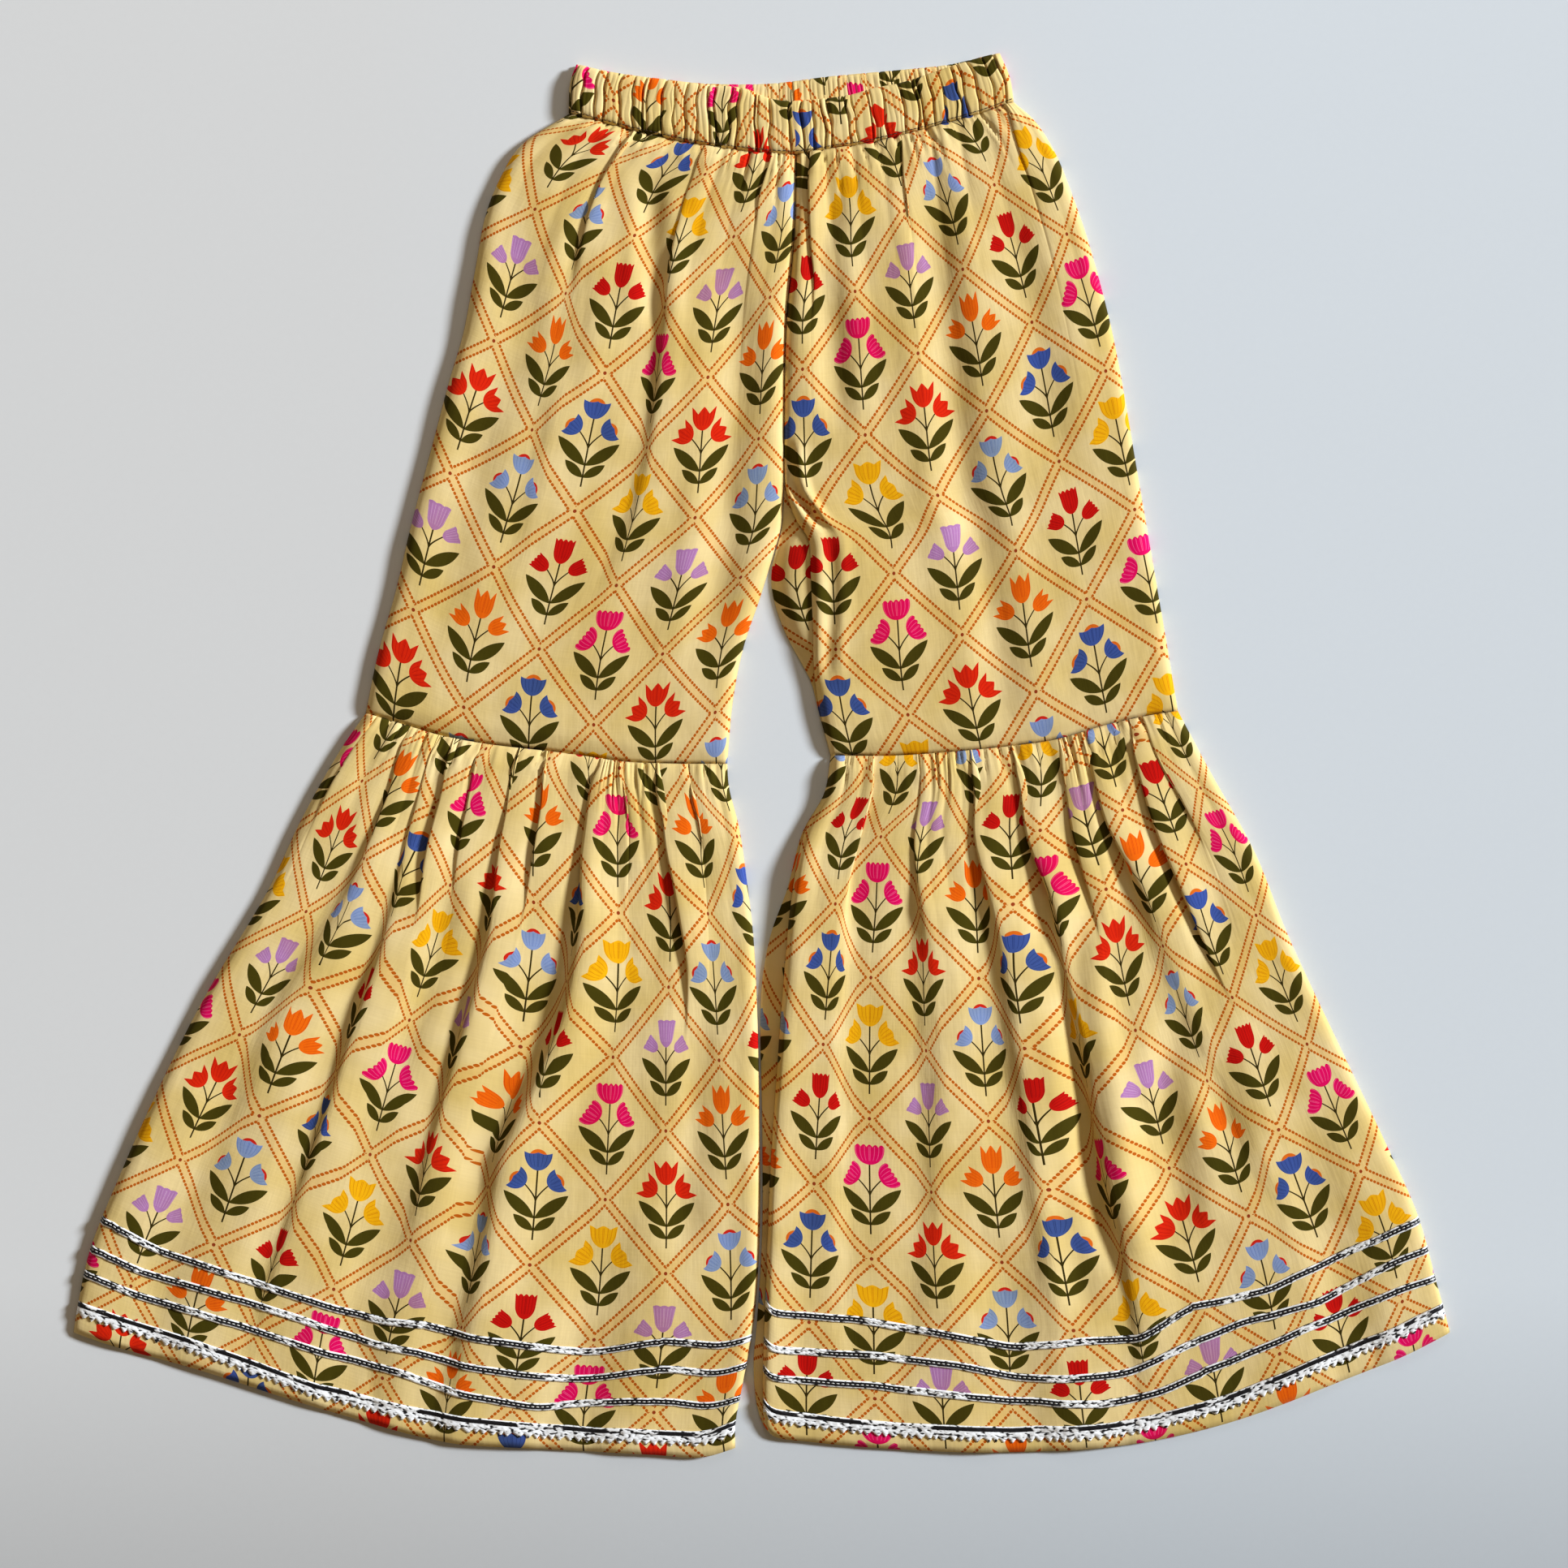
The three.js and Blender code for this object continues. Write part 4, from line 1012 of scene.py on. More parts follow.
def bloom_masks(tree, place, across, kind):
    """Masks of a bloom, the streaks on its petals and the half disc behind it."""
    width, height, head, size = kind_measures(tree, kind, ("width", "height", "head", "side"))
    belly, slim, depth, points = kind_measures(tree, kind, ("belly", "slim", "depth", "points"))
    flare, sharp, disc = kind_measures(tree, kind, ("flare", "sharp", "disc"))
    side = ((across - 1) * 13 - (place["y"] - head + 4.5) * 9).above(0)
    turn = math.radians(SPRIG["side_turn"])
    a = across - SPRIG["side_across"]
    b = place["y"] - SPRIG["side_up"]
    turned_x = (a * math.cos(turn) - b * math.sin(turn)) / size
    turned_y = (a * math.sin(turn) + b * math.cos(turn)) / (size * 0.84)
    x = across.between(turned_x, side)
    y = (place["y"] - head).between(turned_y, side)
    up = y / height
    base = 1 - (up / belly).clamp()
    round_base = (1 - base * base) ** slim
    half = width * 0.5 * round_base * (1 - flare * (1 - up))
    out = abs(x) / half.math("MAXIMUM", 0.01)
    scallop = abs((out * points * (math.pi / 2)).math("COSINE"))
    peak = 1 - abs((out * points * (math.pi / 2)).math("SINE"))
    top = 1 - depth * (1 - scallop.between(peak, sharp))
    bloom = up.above(0.0) * out.below(1.0) * up.below(top)
    streak = (out * 3.4 + 0.35).math("FRACT")
    streak = abs(streak - 0.5).below(0.075) * up.above(0.2) * up.below(0.9)
    heart = size_of(x, y - height * 0.7).below(width * 0.33) * disc * up.above(0.5)
    return bloom, streak, heart, head


def leaf_mask(across, y, leaf):
    """Mask of a pair of pointed leaves, one on each side of the stem."""
    lean = math.radians(leaf["lean"])
    rise = y - SPRIG[leaf["joint"]]
    along = (across * math.sin(lean) + rise * math.cos(lean)) / leaf["length"]
    off = rise * math.sin(lean) - across * math.cos(lean)
    arc = along * (1 - along) * (0.05 * leaf["length"])
    belly = (along * (1 - along) * 4).math("MAXIMUM", 0.0) ** 0.95
    return abs(off + arc).below(belly * (leaf["width"] / 2))


def stem_mask(across, y, head):
    stem = across.below(SPRIG["stem"]) * y.above(SPRIG["foot"]) * y.below(head + 1)
    reach = SPRIG["side_up"] - SPRIG["side_joint"]
    up = (y - SPRIG["side_joint"]) / reach
    bend = up.math("MAXIMUM", 0.0) ** 1.4 * SPRIG["side_across"]
    branch = abs(across - bend).below(SPRIG["stem"] * 1.1)
    branch = branch * up.above(0.0) * up.below(1.12)
    return stem.math("MAXIMUM", branch)


def new_group(name, inputs, outputs):
    """A shader node group with named sockets, and its input and output nodes."""
    tree = bpy.data.node_groups.new(name, "ShaderNodeTree")
    for direction, sockets in (("INPUT", inputs), ("OUTPUT", outputs)):
        for label, kind, value in sockets:
            socket = tree.interface.new_socket(name=label, in_out=direction, socket_type=kind)
            if value is not None:
                socket.default_value = value
    return tree, tree.nodes.new("NodeGroupInput"), tree.nodes.new("NodeGroupOutput")


def sprig_print_group():
    """Tulip sprigs in diamond cells edged by two dashed lines."""
    colours = bpy.context.scene.pants_print
    inputs = [
        ("Cloth", "NodeSocketVector", None),
        ("Cell Width", "NodeSocketFloat", 0.066),
        ("Cell Height", "NodeSocketFloat", 0.071),
        ("Ground", "NodeSocketColor", tuple(colours.ground)),
        ("Channel", "NodeSocketColor", tuple(colours.channel)),
        ("Dashes", "NodeSocketColor", tuple(colours.dashes)),
        ("Leaves", "NodeSocketColor", tuple(colours.leaves)),
    ]
    tree, given, result = new_group("Sprig print", inputs, [("Colour", "NodeSocketColor", None)])
    take = given.outputs
    cell_width = Field(tree, take["Cell Width"])
    cell_height = Field(tree, take["Cell Height"])
    place = lattice_fields(tree, take["Cloth"], cell_width, cell_height)
    across = abs(place["x"])
    channel, dashes, dot = dashed_lattice(place)
    bloom, streak, heart, head = bloom_masks(tree, place, across, place["kind"])
    petal = kind_ramp(tree, place["kind"], [paint(*bloom["petal"]) for bloom in BLOOMS])
    vein = kind_ramp(tree, place["kind"], [paint(*bloom["streak"]) for bloom in BLOOMS])
    middle = kind_ramp(tree, place["kind"], [paint(*bloom["heart"]) for bloom in BLOOMS])
    leaves = leaf_mask(across, place["y"], LEAVES[0])
    leaves = leaves.math("MAXIMUM", leaf_mask(across, place["y"], LEAVES[1]))
    stems = stem_mask(across, place["y"], head)
    colour = mix_colours(tree, channel, take["Ground"], take["Channel"])
    colour = mix_colours(tree, dashes, colour, take["Dashes"])
    colour = mix_colours(tree, dot, colour, paint(150, 58, 22))
    colour = mix_colours(tree, leaves, colour, take["Leaves"])
    colour = mix_colours(tree, stems, colour, paint(50, 40, 4))
    colour = mix_colours(tree, heart, colour, middle)
    colour = mix_colours(tree, bloom, colour, petal)
    colour = mix_colours(tree, bloom * streak, colour, vein)
    set_input(tree, result, "Colour", colour)
    return tree


def noise_field(tree, cloth, scale, stretch, detail):
    """Uneven spots over the cloth, drawn out across it or down it."""
    mapping = add_node(tree, "ShaderNodeMapping", {"Scale": (*stretch, 1.0), "Vector": cloth})
    spots = {"Scale": scale, "Detail": detail, "Vector": mapping.outputs[0]}
    noise = add_node(tree, "ShaderNodeTexNoise", spots)
    noise.noise_dimensions = "2D"
    return Field(tree, noise.outputs[0])


# How much green and blue the cotton loses in the darker patches of its random cloud
WARM_GREEN = 0.06
WARM_BLUE = 0.34


def cotton_surface_group():
    """Uneven ink, thin and thick yarns and fine creases of a plain cotton."""
    inputs = [
        ("Cloth", "NodeSocketVector", None),
        ("Colour", "NodeSocketColor", None),
        ("Unevenness", "NodeSocketFloat", 0.1),
    ]
    outputs = [
        ("Colour", "NodeSocketColor", None),
        ("Height", "NodeSocketFloat", None),
        ("Roughness", "NodeSocketFloat", None),
    ]
    tree, given, result = new_group("Cotton surface", inputs, outputs)
    cloth = given.outputs["Cloth"]
    slub = noise_field(tree, cloth, 900, (1.0, 0.06), 1)
    weft = noise_field(tree, cloth, 900, (0.06, 1.0), 1)
    crease = noise_field(tree, cloth, 70, (1.0, 0.45), 3)
    cloud = noise_field(tree, cloth, 28, (1.0, 1.0), 2)
    yarn = (slub + weft) * 0.5
    shade = 1 + ((yarn - 0.5) * 0.5 + (cloud - 0.5) * 1.5) * Field(tree, given.outputs["Unevenness"])
    warm = ((0.66 - cloud) * 2.4).clamp()
    green = shade * (1 - warm * WARM_GREEN)
    blue = shade * (1 - warm * WARM_BLUE)
    tint = add_node(tree, "ShaderNodeCombineXYZ", {0: shade, 1: green, 2: blue})
    bright = add_node(tree, "ShaderNodeVectorMath", {0: given.outputs["Colour"], 1: tint.outputs[0]})
    bright.operation = "MULTIPLY"
    set_inputs(tree, result, {
        "Colour": bright.outputs[0],
        "Height": crease * 0.75 + yarn * 0.12,
        "Roughness": 0.82 + (cloud - 0.5) * 0.2,
    })
    return tree


def new_material(name):
    material = bpy.data.materials.new(name)
    material.use_nodes = True
    tree = material.node_tree
    shader = next(node for node in tree.nodes if node.type == "BSDF_PRINCIPLED")
    return material, tree, shader


def uv_socket(tree):
    node = tree.nodes.new("ShaderNodeUVMap")
    node.uv_map = "Cloth"
    return node.outputs[0]


def use_group(tree, group, values):
    node = tree.nodes.new("ShaderNodeGroup")
    node.node_tree = group
    set_inputs(tree, node, values)
    return node


def add_bump(tree, shader, height, distance, strength):
    relief = {"Distance": distance, "Strength": strength, "Height": height}
    bump = add_node(tree, "ShaderNodeBump", relief)
    set_input(tree, shader, "Normal", bump.outputs[0])


def printed_cotton():
    """Plain woven cotton with the sprig print, slightly uneven as block printing is."""
    if "Printed cotton" in bpy.data.materials:
        return bpy.data.materials["Printed cotton"]
    cell = bpy.context.scene.pants_print
    material, tree, shader = new_material("Printed cotton")
    cloth = uv_socket(tree)
    sprigs = use_group(tree, sprig_print_group(), {
        "Cloth": cloth, "Cell Width": cell.cell_width, "Cell Height": cell.cell_height,
    })
    surface = use_group(tree, cotton_surface_group(), {
        "Cloth": cloth, "Colour": sprigs.outputs["Colour"], "Unevenness": 0.2,
    })
    set_inputs(tree, shader, {
        "Base Color": surface.outputs["Colour"],
        "Roughness": surface.outputs["Roughness"],
        "Specular IOR Level": 0.05,
        "Sheen Weight": 0.04,
        "Sheen Roughness": 0.5,
    })
    add_bump(tree, shader, surface.outputs["Height"], 0.0012, 0.5)
    return material


def foil_group():
    """Crumpled metal foil with its reflections painted on: bright runs and bright edges are painted
    highlights, dark runs painted reflected shade.
    """
    inputs = [
        ("Cloth", "NodeSocketVector", None),
        ("Core", "NodeSocketFloat", 0.0),
        ("Core Width", "NodeSocketFloat", 3.6),
        ("Painted Reflection Bias", "NodeSocketFloat", 0.0),
    ]
    outputs = [("Bright", "NodeSocketFloat", None), ("Height", "NodeSocketFloat", None)]
    tree, given, result = new_group("Foil with painted reflections", inputs, outputs)
    take = given.outputs
    split = add_node(tree, "ShaderNodeSeparateXYZ", {0: take["Cloth"]})
    across = Field(tree, split.outputs[1]) * 1000 - Field(tree, take["Core"])
    # Painted reflections: runs of light and shade along the foil, as if the crumples mirrored them
    runs = (noise_field(tree, take["Cloth"], 24, (1.0, 0.3), 1) - 0.5) * 6
    runs = (runs + Field(tree, take["Painted Reflection Bias"])).clamp(-0.3, 0.3)
    patches = noise_field(tree, take["Cloth"], 260, (0.4, 1.0), 1) - across * 0.04
    specks = noise_field(tree, take["Cloth"], 800, (0.4, 1.0), 1)
    core = (patches + runs - 0.5) * 7
    core = core.math("MINIMUM", 1.6) * (specks - 0.40).math("MAXIMUM", 0.0) * 7
    core = core + specks.above(0.66) * 0.6
    edge = abs(across).above(Field(tree, take["Core Width"]) * 0.5)
    # Painted glints along the edges
    rim = (specks - 0.33) * 8
    bright = core.between(rim, edge).clamp()
    set_inputs(tree, result, {"Bright": bright, "Height": patches * 0.6 + specks * 0.5})
    return tree


def silver_foil(name, core, core_width, painted_reflection_bias):
    """Crumpled foil on a dark weave, for the ribbons and the lace, with its highlights and reflected
    shade painted into the colour.
    """
    if name in bpy.data.materials:
        return bpy.data.materials[name]
    material, tree, shader = new_material(name)
    foil = use_group(tree, bpy.data.node_groups.get("Foil with painted reflections") or foil_group(), {
        "Cloth": uv_socket(tree), "Core": core, "Core Width": core_width, "Painted Reflection Bias": painted_reflection_bias,
    })
    bright = Field(tree, foil.outputs["Bright"])
    set_inputs(tree, shader, {
        # Painted highlight in white where the foil is bright, painted reflected shade in near black
        # elsewhere
        "Base Color": mix_colours(tree, bright, paint(38, 37, 42), paint(250, 250, 252)),
        "Roughness": 0.42 - bright * 0.14,
        "Metallic": 0.6 - bright * 0.55,
    })
    add_bump(tree, shader, foil.outputs["Height"], 0.0008, 0.8)
    return material


def trim_material(lace):
    if lace:
        return silver_foil("Silver lace", -1.1, 2.0, -0.2)
    return silver_foil("Silver ribbon", 0.0, 2.3, -0.25)


def plain_thread(name, colour):
    """Twisted sewing thread."""
    if name in bpy.data.materials:
        return bpy.data.materials[name]
    material, tree, shader = new_material(name)
    place = tree.nodes.new("ShaderNodeTexCoord").outputs["Object"]
    twist = add_node(tree, "ShaderNodeTexNoise", {"Scale": 1800, "Vector": place})
    grain = Field(tree, twist.outputs[0])
    shades = mix_colours(tree, grain, tuple(0.7 * part for part in colour[:3]) + (1.0,), colour)
    set_inputs(tree, shader, {"Base Color": shades, "Roughness": 0.6})
    add_bump(tree, shader, grain, 0.0003, 0.5)
    return material


def layout_rows(count, crowd=1.15):
    """Shares of the way down a panel, closer together near its top."""
    return np.linspace(0, 1, count) ** crowd


# The gathers that each front panel is drawn up into at its top, finer ones fading sooner
TIER_GATHER = [
    dict(spacing=13.0, rise=1.6, reach=46, seed=3),
    dict(spacing=4.8, rise=0.9, reach=14, seed=5),
]
LEG_GATHER = [
    dict(spacing=15.0, rise=1.6, reach=60, seed=23),
    dict(spacing=5.4, rise=0.9, reach=14, seed=29),
]
TUCKS = dict(spacing=6.2, rise=3.2, reach=20, hidden=0.4)


def build_front(key, name, gather, below, column_step, row_count):
    """A gathered front panel, with its columns, points and the place of the print on it."""
    panel = Panel(*PANELS[key])
    layout = Layout(key, panel, PLEATS[key], column_step, layout_rows(row_count))
    run = panel.top.length * 1.5
    ridges = [dict(ridge, run=run) for ridge in gather]
    points = front_points(key, panel, layout, ridges, below)
    thickness = bpy.context.scene.pants_cloth.thickness / MM
    piece = add_cloth(name, points, layout.cloth, printed_cotton(), thickness, name)
    return piece, panel, layout, points


def build_back(key, panel_key, name):
    """A back panel lying flat under the front, with shallow pleats that show from below."""
    panel = Panel(*PANELS[panel_key])
    layout = Layout(key, panel, BACK_PLEATS[key], 4.0, layout_rows(70))
    laps, _ = pleat_relief(layout, BACK_PLEATS[key], panel.length)
    from_side = np.minimum(layout.u, 1 - layout.u) * layout.width
    height = BACK_TOP + np.maximum(laps, 0) * ease(from_side / EDGE_ROUND)
    if name == "leg_right_back":
        from_edge = layout.u * layout.width
        roll = ease((from_edge - BACK_ROLL["rim"]) / BACK_ROLL["width"])
        roll = roll * (1 - ease((from_edge - BACK_ROLL["flat"]) / BACK_ROLL["reach"]))
        height += BACK_ROLL["rise"] * roll * loose_share("leg_right", layout.v)
    points = np.concatenate([panel.at(layout.u, layout.v), height[..., None]], axis=-1)
    piece = add_cloth(name, points, layout.cloth, printed_cotton(), 0.5, name)
    return piece, panel, layout, points


class PrintSettings(bpy.types.PropertyGroup):
    """The print's repeat and its colours."""

    cell_width: FloatProperty(
        name="Cell width", description="Width of one diamond of the lattice",
        default=0.066, min=0.01, unit="LENGTH",
    )
    cell_height: FloatProperty(
        name="Cell height", description="Height of one diamond of the lattice",
        default=0.071, min=0.01, unit="LENGTH",
    )
    ground: FloatVectorProperty(
        name="Ground", description="Colour of the cotton between the sprigs",
        subtype="COLOR", size=4, min=0, max=1, default=paint(228, 202, 144),
    )
    channel: FloatVectorProperty(
        name="Channel", description="Colour of the pale band between the dashed lines",
        subtype="COLOR", size=4, min=0, max=1, default=paint(230, 193, 127),
    )
    dashes: FloatVectorProperty(
        name="Dashes", description="Colour of the dashed lines round each diamond",
        subtype="COLOR", size=4, min=0, max=1, default=paint(188, 92, 14),
    )
    leaves: FloatVectorProperty(
        name="Leaves", description="Colour of the leaves",
        subtype="COLOR", size=4, min=0, max=1, default=paint(66, 58, 6),
    )


class ClothSettings(bpy.types.PropertyGroup):
    """The cotton and how finely it is modelled."""

    thickness: FloatProperty(
        name="Thickness", description="Thickness of one layer of cotton",
        default=0.0005, min=0.0001, max=0.002, unit="LENGTH",
    )
    column_step: FloatProperty(
        name="Column step", description="Distance between the columns of a front panel's mesh",
        default=0.0015, min=0.001, max=0.01, unit="LENGTH",
    )
    rows: IntProperty(
        name="Rows", description="Rows in the mesh of a tier", default=116, min=40, max=240,
    )


class StageSettings(bpy.types.PropertyGroup):
    """The floor, the light and the camera."""

    camera_height: FloatProperty(
        name="Camera height", description="Height of the camera above the pants",
        default=1.8, min=0.5, unit="LENGTH",
    )
    frame_width: FloatProperty(
        name="Frame width", description="Width of the floor that the picture takes in",
        default=0.7728, min=0.1, unit="LENGTH",
    )
    frame_centre: FloatVectorProperty(
        name="Frame centre", description="Place on the floor under the camera",
        size=2, default=(0.011, -0.014), subtype="XYZ_LENGTH", unit="LENGTH",
    )
    floor_colour: FloatVectorProperty(
        name="Floor", description="Colour of the surface that the pants lie on",
        subtype="COLOR", size=4, min=0, max=1, default=paint(219, 219, 220),
    )
    # Painted window light: the floor's colour on the window's side, cooler where the window lights it
    floor_window_light_colour: FloatVectorProperty(
        name="Floor in the painted window light", description="Colour painted on the same surface on the window's side, for the window's cool light",
        subtype="COLOR", size=4, min=0, max=1, default=paint(218, 224, 231),
    )


# Light from a window on the right, a faint one over the waist and the warm shade of the room
WINDOW = dict(power=5.45, spread=11, colour=(0.88, 0.955, 1.02), towards=(-1.5, -0.5, -0.74))
TOP_LIGHT = dict(
    place=(0.25, 1.35, 1.0), aim=(0.05, 0.2, 0), size=0.8, power=3.5, colour=(1.0, 0.98, 0.96),
)
ROOM = dict(colour=(1.0, 0.76, 0.46, 1.0), strength=0.18)

# The floor's painted shade darkens it near the viewer, from one place to another in metres, and
# a painted cool window light comes over it across its middle
FLOOR = dict(drop=0.0003, painted_shade_from=0.26, painted_shade_over=0.16, dim=0.3, window_light_slope=2.5, grain=300, mottle=0.02)


class PANTS_OT_stage(bpy.types.Operator):
    """Sets out the floor, the soft light from the right and the camera overhead"""

    bl_idname = "pants.stage"
    bl_label = "Stage"

    def execute(self, context):
        settings = context.scene.pants_stage
        build_floor(settings)
        build_lights()
        build_camera(settings)
        return {"FINISHED"}


def build_floor(settings):
    surface = bmesh.new()
    bmesh.ops.create_grid(surface, x_segments=1, y_segments=1, size=3.0)
    bmesh.ops.translate(surface, verts=surface.verts, vec=(0, 0, -FLOOR["drop"]))
    mesh = new_mesh("floor", surface)
    floor = new_object("floor", mesh)
    material, tree, shader = new_material("Pale paper")
    place = tree.nodes.new("ShaderNodeTexCoord").outputs["Object"]
    grain = add_node(tree, "ShaderNodeTexNoise", {"Scale": FLOOR["grain"], "Vector": place})
    split = add_node(tree, "ShaderNodeSeparateXYZ", {0: place})
    # Painted shade: darker towards the viewer, where the light falls off
    near = ((Field(tree, split.outputs[1]) * -1 - FLOOR["painted_shade_from"]) / FLOOR["painted_shade_over"]).clamp()
    # Painted light: the cool window light painted over the floor's right-hand side
    side = (Field(tree, split.outputs[0]) * FLOOR["window_light_slope"] + 0.5).clamp()
    plain = mix_colours(tree, side, tuple(settings.floor_colour), tuple(settings.floor_window_light_colour))
    # The painted shade, with the floor's own faint mottle on it
    light = 1 - near * FLOOR["dim"] + Field(tree, grain.outputs[0]) * FLOOR["mottle"]
    dim = tree.nodes.new("ShaderNodeVectorMath")
    dim.operation = "SCALE"
    set_inputs(tree, dim, {0: plain, "Scale": light})
    floor_looks = {"Base Color": dim.outputs[0], "Roughness": 0.9, "Specular IOR Level": 0.1}
    set_inputs(tree, shader, floor_looks)
    mesh.materials.append(material)


def add_light(name, kind, power, colour, towards):
    data = bpy.data.lights.new(name, kind)
    data.energy = power
    data.color = colour
    light = new_object(name, data)
    light.rotation_euler = Vector(towards).to_track_quat("-Z", "Y").to_euler()
    return light


def build_lights():
    window = add_light("window", "SUN", WINDOW["power"], WINDOW["colour"], WINDOW["towards"])
    window.data.angle = math.radians(WINDOW["spread"])
    down = Vector(TOP_LIGHT["aim"]) - Vector(TOP_LIGHT["place"])
    top = add_light("top", "AREA", TOP_LIGHT["power"], TOP_LIGHT["colour"], down)
    top.data.size = TOP_LIGHT["size"]
    top.location = TOP_LIGHT["place"]
    world = bpy.data.worlds.new("room")
    bpy.context.scene.world = world
    world.use_nodes = True
    background = world.node_tree.nodes["Background"]
    background.inputs["Color"].default_value = ROOM["colour"]
    background.inputs["Strength"].default_value = ROOM["strength"]
    bpy.context.scene.view_settings.view_transform = "Standard"


def build_camera(settings):
    data = bpy.data.cameras.new("overhead")
    data.sensor_width = 36
    data.lens = 36 * settings.camera_height / settings.frame_width
    data.clip_start = 0.05
    data.clip_end = 20
    camera = new_object("overhead", data)
    camera.location = (*settings.frame_centre, settings.camera_height)
    bpy.context.scene.camera = camera


class PANTS_OT_backs(bpy.types.Operator):
    """Lays out the back panels of the legs and the tiers"""

    bl_idname = "pants.backs"
    bl_label = "Back panels"

    def execute(self, context):
        for side in ("left", "right"):
            leg_shape = "leg_left" if side == "left" else "leg_right_back"
            leg, _, layout, _ = build_back(f"leg_{side}", leg_shape, f"leg_{side}_back")
            tier_shape = "tier_left" if side == "left" else "tier_right_back"
            tier, panel, layout, points = build_back(f"tier_{side}", tier_shape, f"tier_{side}_back")
            trims = build_back_trims(side, panel, layout, points)
        return {"FINISHED"}


class PANTS_OT_legs(bpy.types.Operator):
    """Makes the fronts of the upper legs, gathered at the waist"""

    bl_idname = "pants.legs"
    bl_label = "Leg fronts"

    def execute(self, context):
        step = context.scene.pants_cloth.column_step / MM
        rows = context.scene.pants_cloth.rows
        for side in ("left", "right"):
            name = f"leg_{side}_front"
            made = build_front(f"leg_{side}", name, LEG_GATHER, "seam", step * 0.85, rows * 4 // 3)
        return {"FINISHED"}


class PANTS_OT_tiers(bpy.types.Operator):
    """Makes the gathered tiers with their rows of ribbon and lace"""

    bl_idname = "pants.tiers"
    bl_label = "Tier fronts and trims"

    def execute(self, context):
        step = context.scene.pants_cloth.column_step / MM
        rows = context.scene.pants_cloth.rows
        for side in ("left", "right"):
            name = f"tier_{side}_front"
            made = build_front(f"tier_{side}", name, TIER_GATHER, "hem", step, rows)
            piece, panel, layout, points = made
            trims = build_front_trims(side, panel, layout, points)
        return {"FINISHED"}


RIBBON = dict(width=3.8, rows=9, wall=0.25, lift=0.4, bulges=2, swell=0.4, tooth=0.0)
LACE = dict(width=5.4, rows=10, wall=0.3, lift=0.5, bulges=2, swell=0.5, tooth=2.4, pitch=4.2)


def strip_points(panel, layout, points, path, trim, per_column):
    """Points of a trim that lies on a panel, and its own place along and across."""
    rows_v = layout.v[:, 0]
    columns = points.shape[1]
    stations = np.linspace(0, columns - 1, (columns - 1) * per_column + 1)
    low = np.minimum(stations.astype(int), columns - 2)
    part = (stations - low)[:, None]
    hem_u = layout.u[-1]
    across = hem_u[low] * (1 - part[:, 0]) + hem_u[low + 1] * part[:, 0]
    centre = smooth(np.interp(across, *zip(*path)), 15)
    run = across * panel.bottom.length
    waver = 0.25 * crumple(run, run * 0, 14, 41)
    grid = []
    places = []
    for share_across in np.linspace(-0.5, 0.5, trim["rows"]):
        offset = share_across * trim["width"] + waver
        if trim["tooth"]:
            jag = np.abs(((run / trim["pitch"] + 0.3 * crumple(run, run * 0, 6, 43)) % 1) * 2 - 1)
            offset = offset + trim["tooth"] * jag * ease((share_across + 0.1) / 0.6)
        down = np.clip(centre + offset / panel.length, 0, 1)
        at = np.interp(down, rows_v, np.arange(len(rows_v)))
        above = np.minimum(at.astype(int), len(rows_v) - 2)
        share_down = (at - above)[:, None]
        upper = points[above, low] * (1 - part) + points[above, low + 1] * part
        lower = points[above + 1, low] * (1 - part) + points[above + 1, low + 1] * part
        grid.append(upper * (1 - share_down) + lower * share_down)
        places.append(np.stack([run + trim.get("shift", 0), offset - waver], axis=-1))
    grid = np.stack(grid)
    places = np.stack(places)
    turns = np.linspace(0, math.pi * trim["bulges"], trim["rows"])
    bulge = 0.14 * crumple(places[..., 0], places[..., 1] * 1.3, 2.4, 47)
    bulge = bulge + trim["swell"] * np.abs(np.sin(turns))[:, None]
    grid[..., 2] += trim["lift"] + bulge
    return grid, places


def build_front_trims(side, panel, layout, points):
    """Three ribbons and the lace, each lying on the folds of its tier. White stitches down the
    middle of a ribbon draw it into two ridges."""
    trims = []
    for number, path in enumerate(TRIMS[f"tier_{side}"]):
        lace = number == len(TRIMS[f"tier_{side}"]) - 1
        trim = dict(LACE if lace else RIBBON, shift=430 * number + 90 * len(side))
        grid, places = strip_points(panel, layout, points, path, trim, 3 if lace else 2)
        name = f"lace_{side}" if lace else f"ribbon_{side}_{number + 1}"
        piece = add_cloth(name, grid, places, trim_material(lace), trim["wall"], name)
        trims.append(piece)
        if not lace:
            white = plain_thread("White thread", paint(246, 244, 238))
            middle = grid[len(grid) // 2]
            stitches = f"stitches_{side}_{number + 1}"
            trims.append(build_stitches(stitches, middle, RIBBON_STITCH, white))
    return trims


def build_back_trims(side, panel, layout, points):
    """The same rows where they run round the back, pressed flat on the surface below."""
    trims = []
    for number, down in enumerate(BACK_TRIM_ROWS):
        lace = number == len(BACK_TRIM_ROWS) - 1
        path = ((0, down), (0.5, down + BACK_TRIM["sag"]), (1, down))
        trim = LACE if lace else RIBBON
        grid, places = strip_points(panel, layout, points, path, trim, 1)
        grid[..., 2] = BACK_TRIM["top"]
        material = trim_material(lace)
        name = f"back_lace_{side}" if lace else f"back_ribbon_{side}_{number + 1}"
        trims.append(add_cloth(name, grid, places, material, BACK_TRIM["wall"]))
    return trims


# Stitches, in millimetres: from one to the next, their length, thickness and height over the cloth
RIBBON_STITCH = dict(pitch=2.4, length=1.75, thickness=0.52, up=0.14)
CASING_STITCH = dict(pitch=2.5, length=1.9, thickness=0.52, up=0.3)


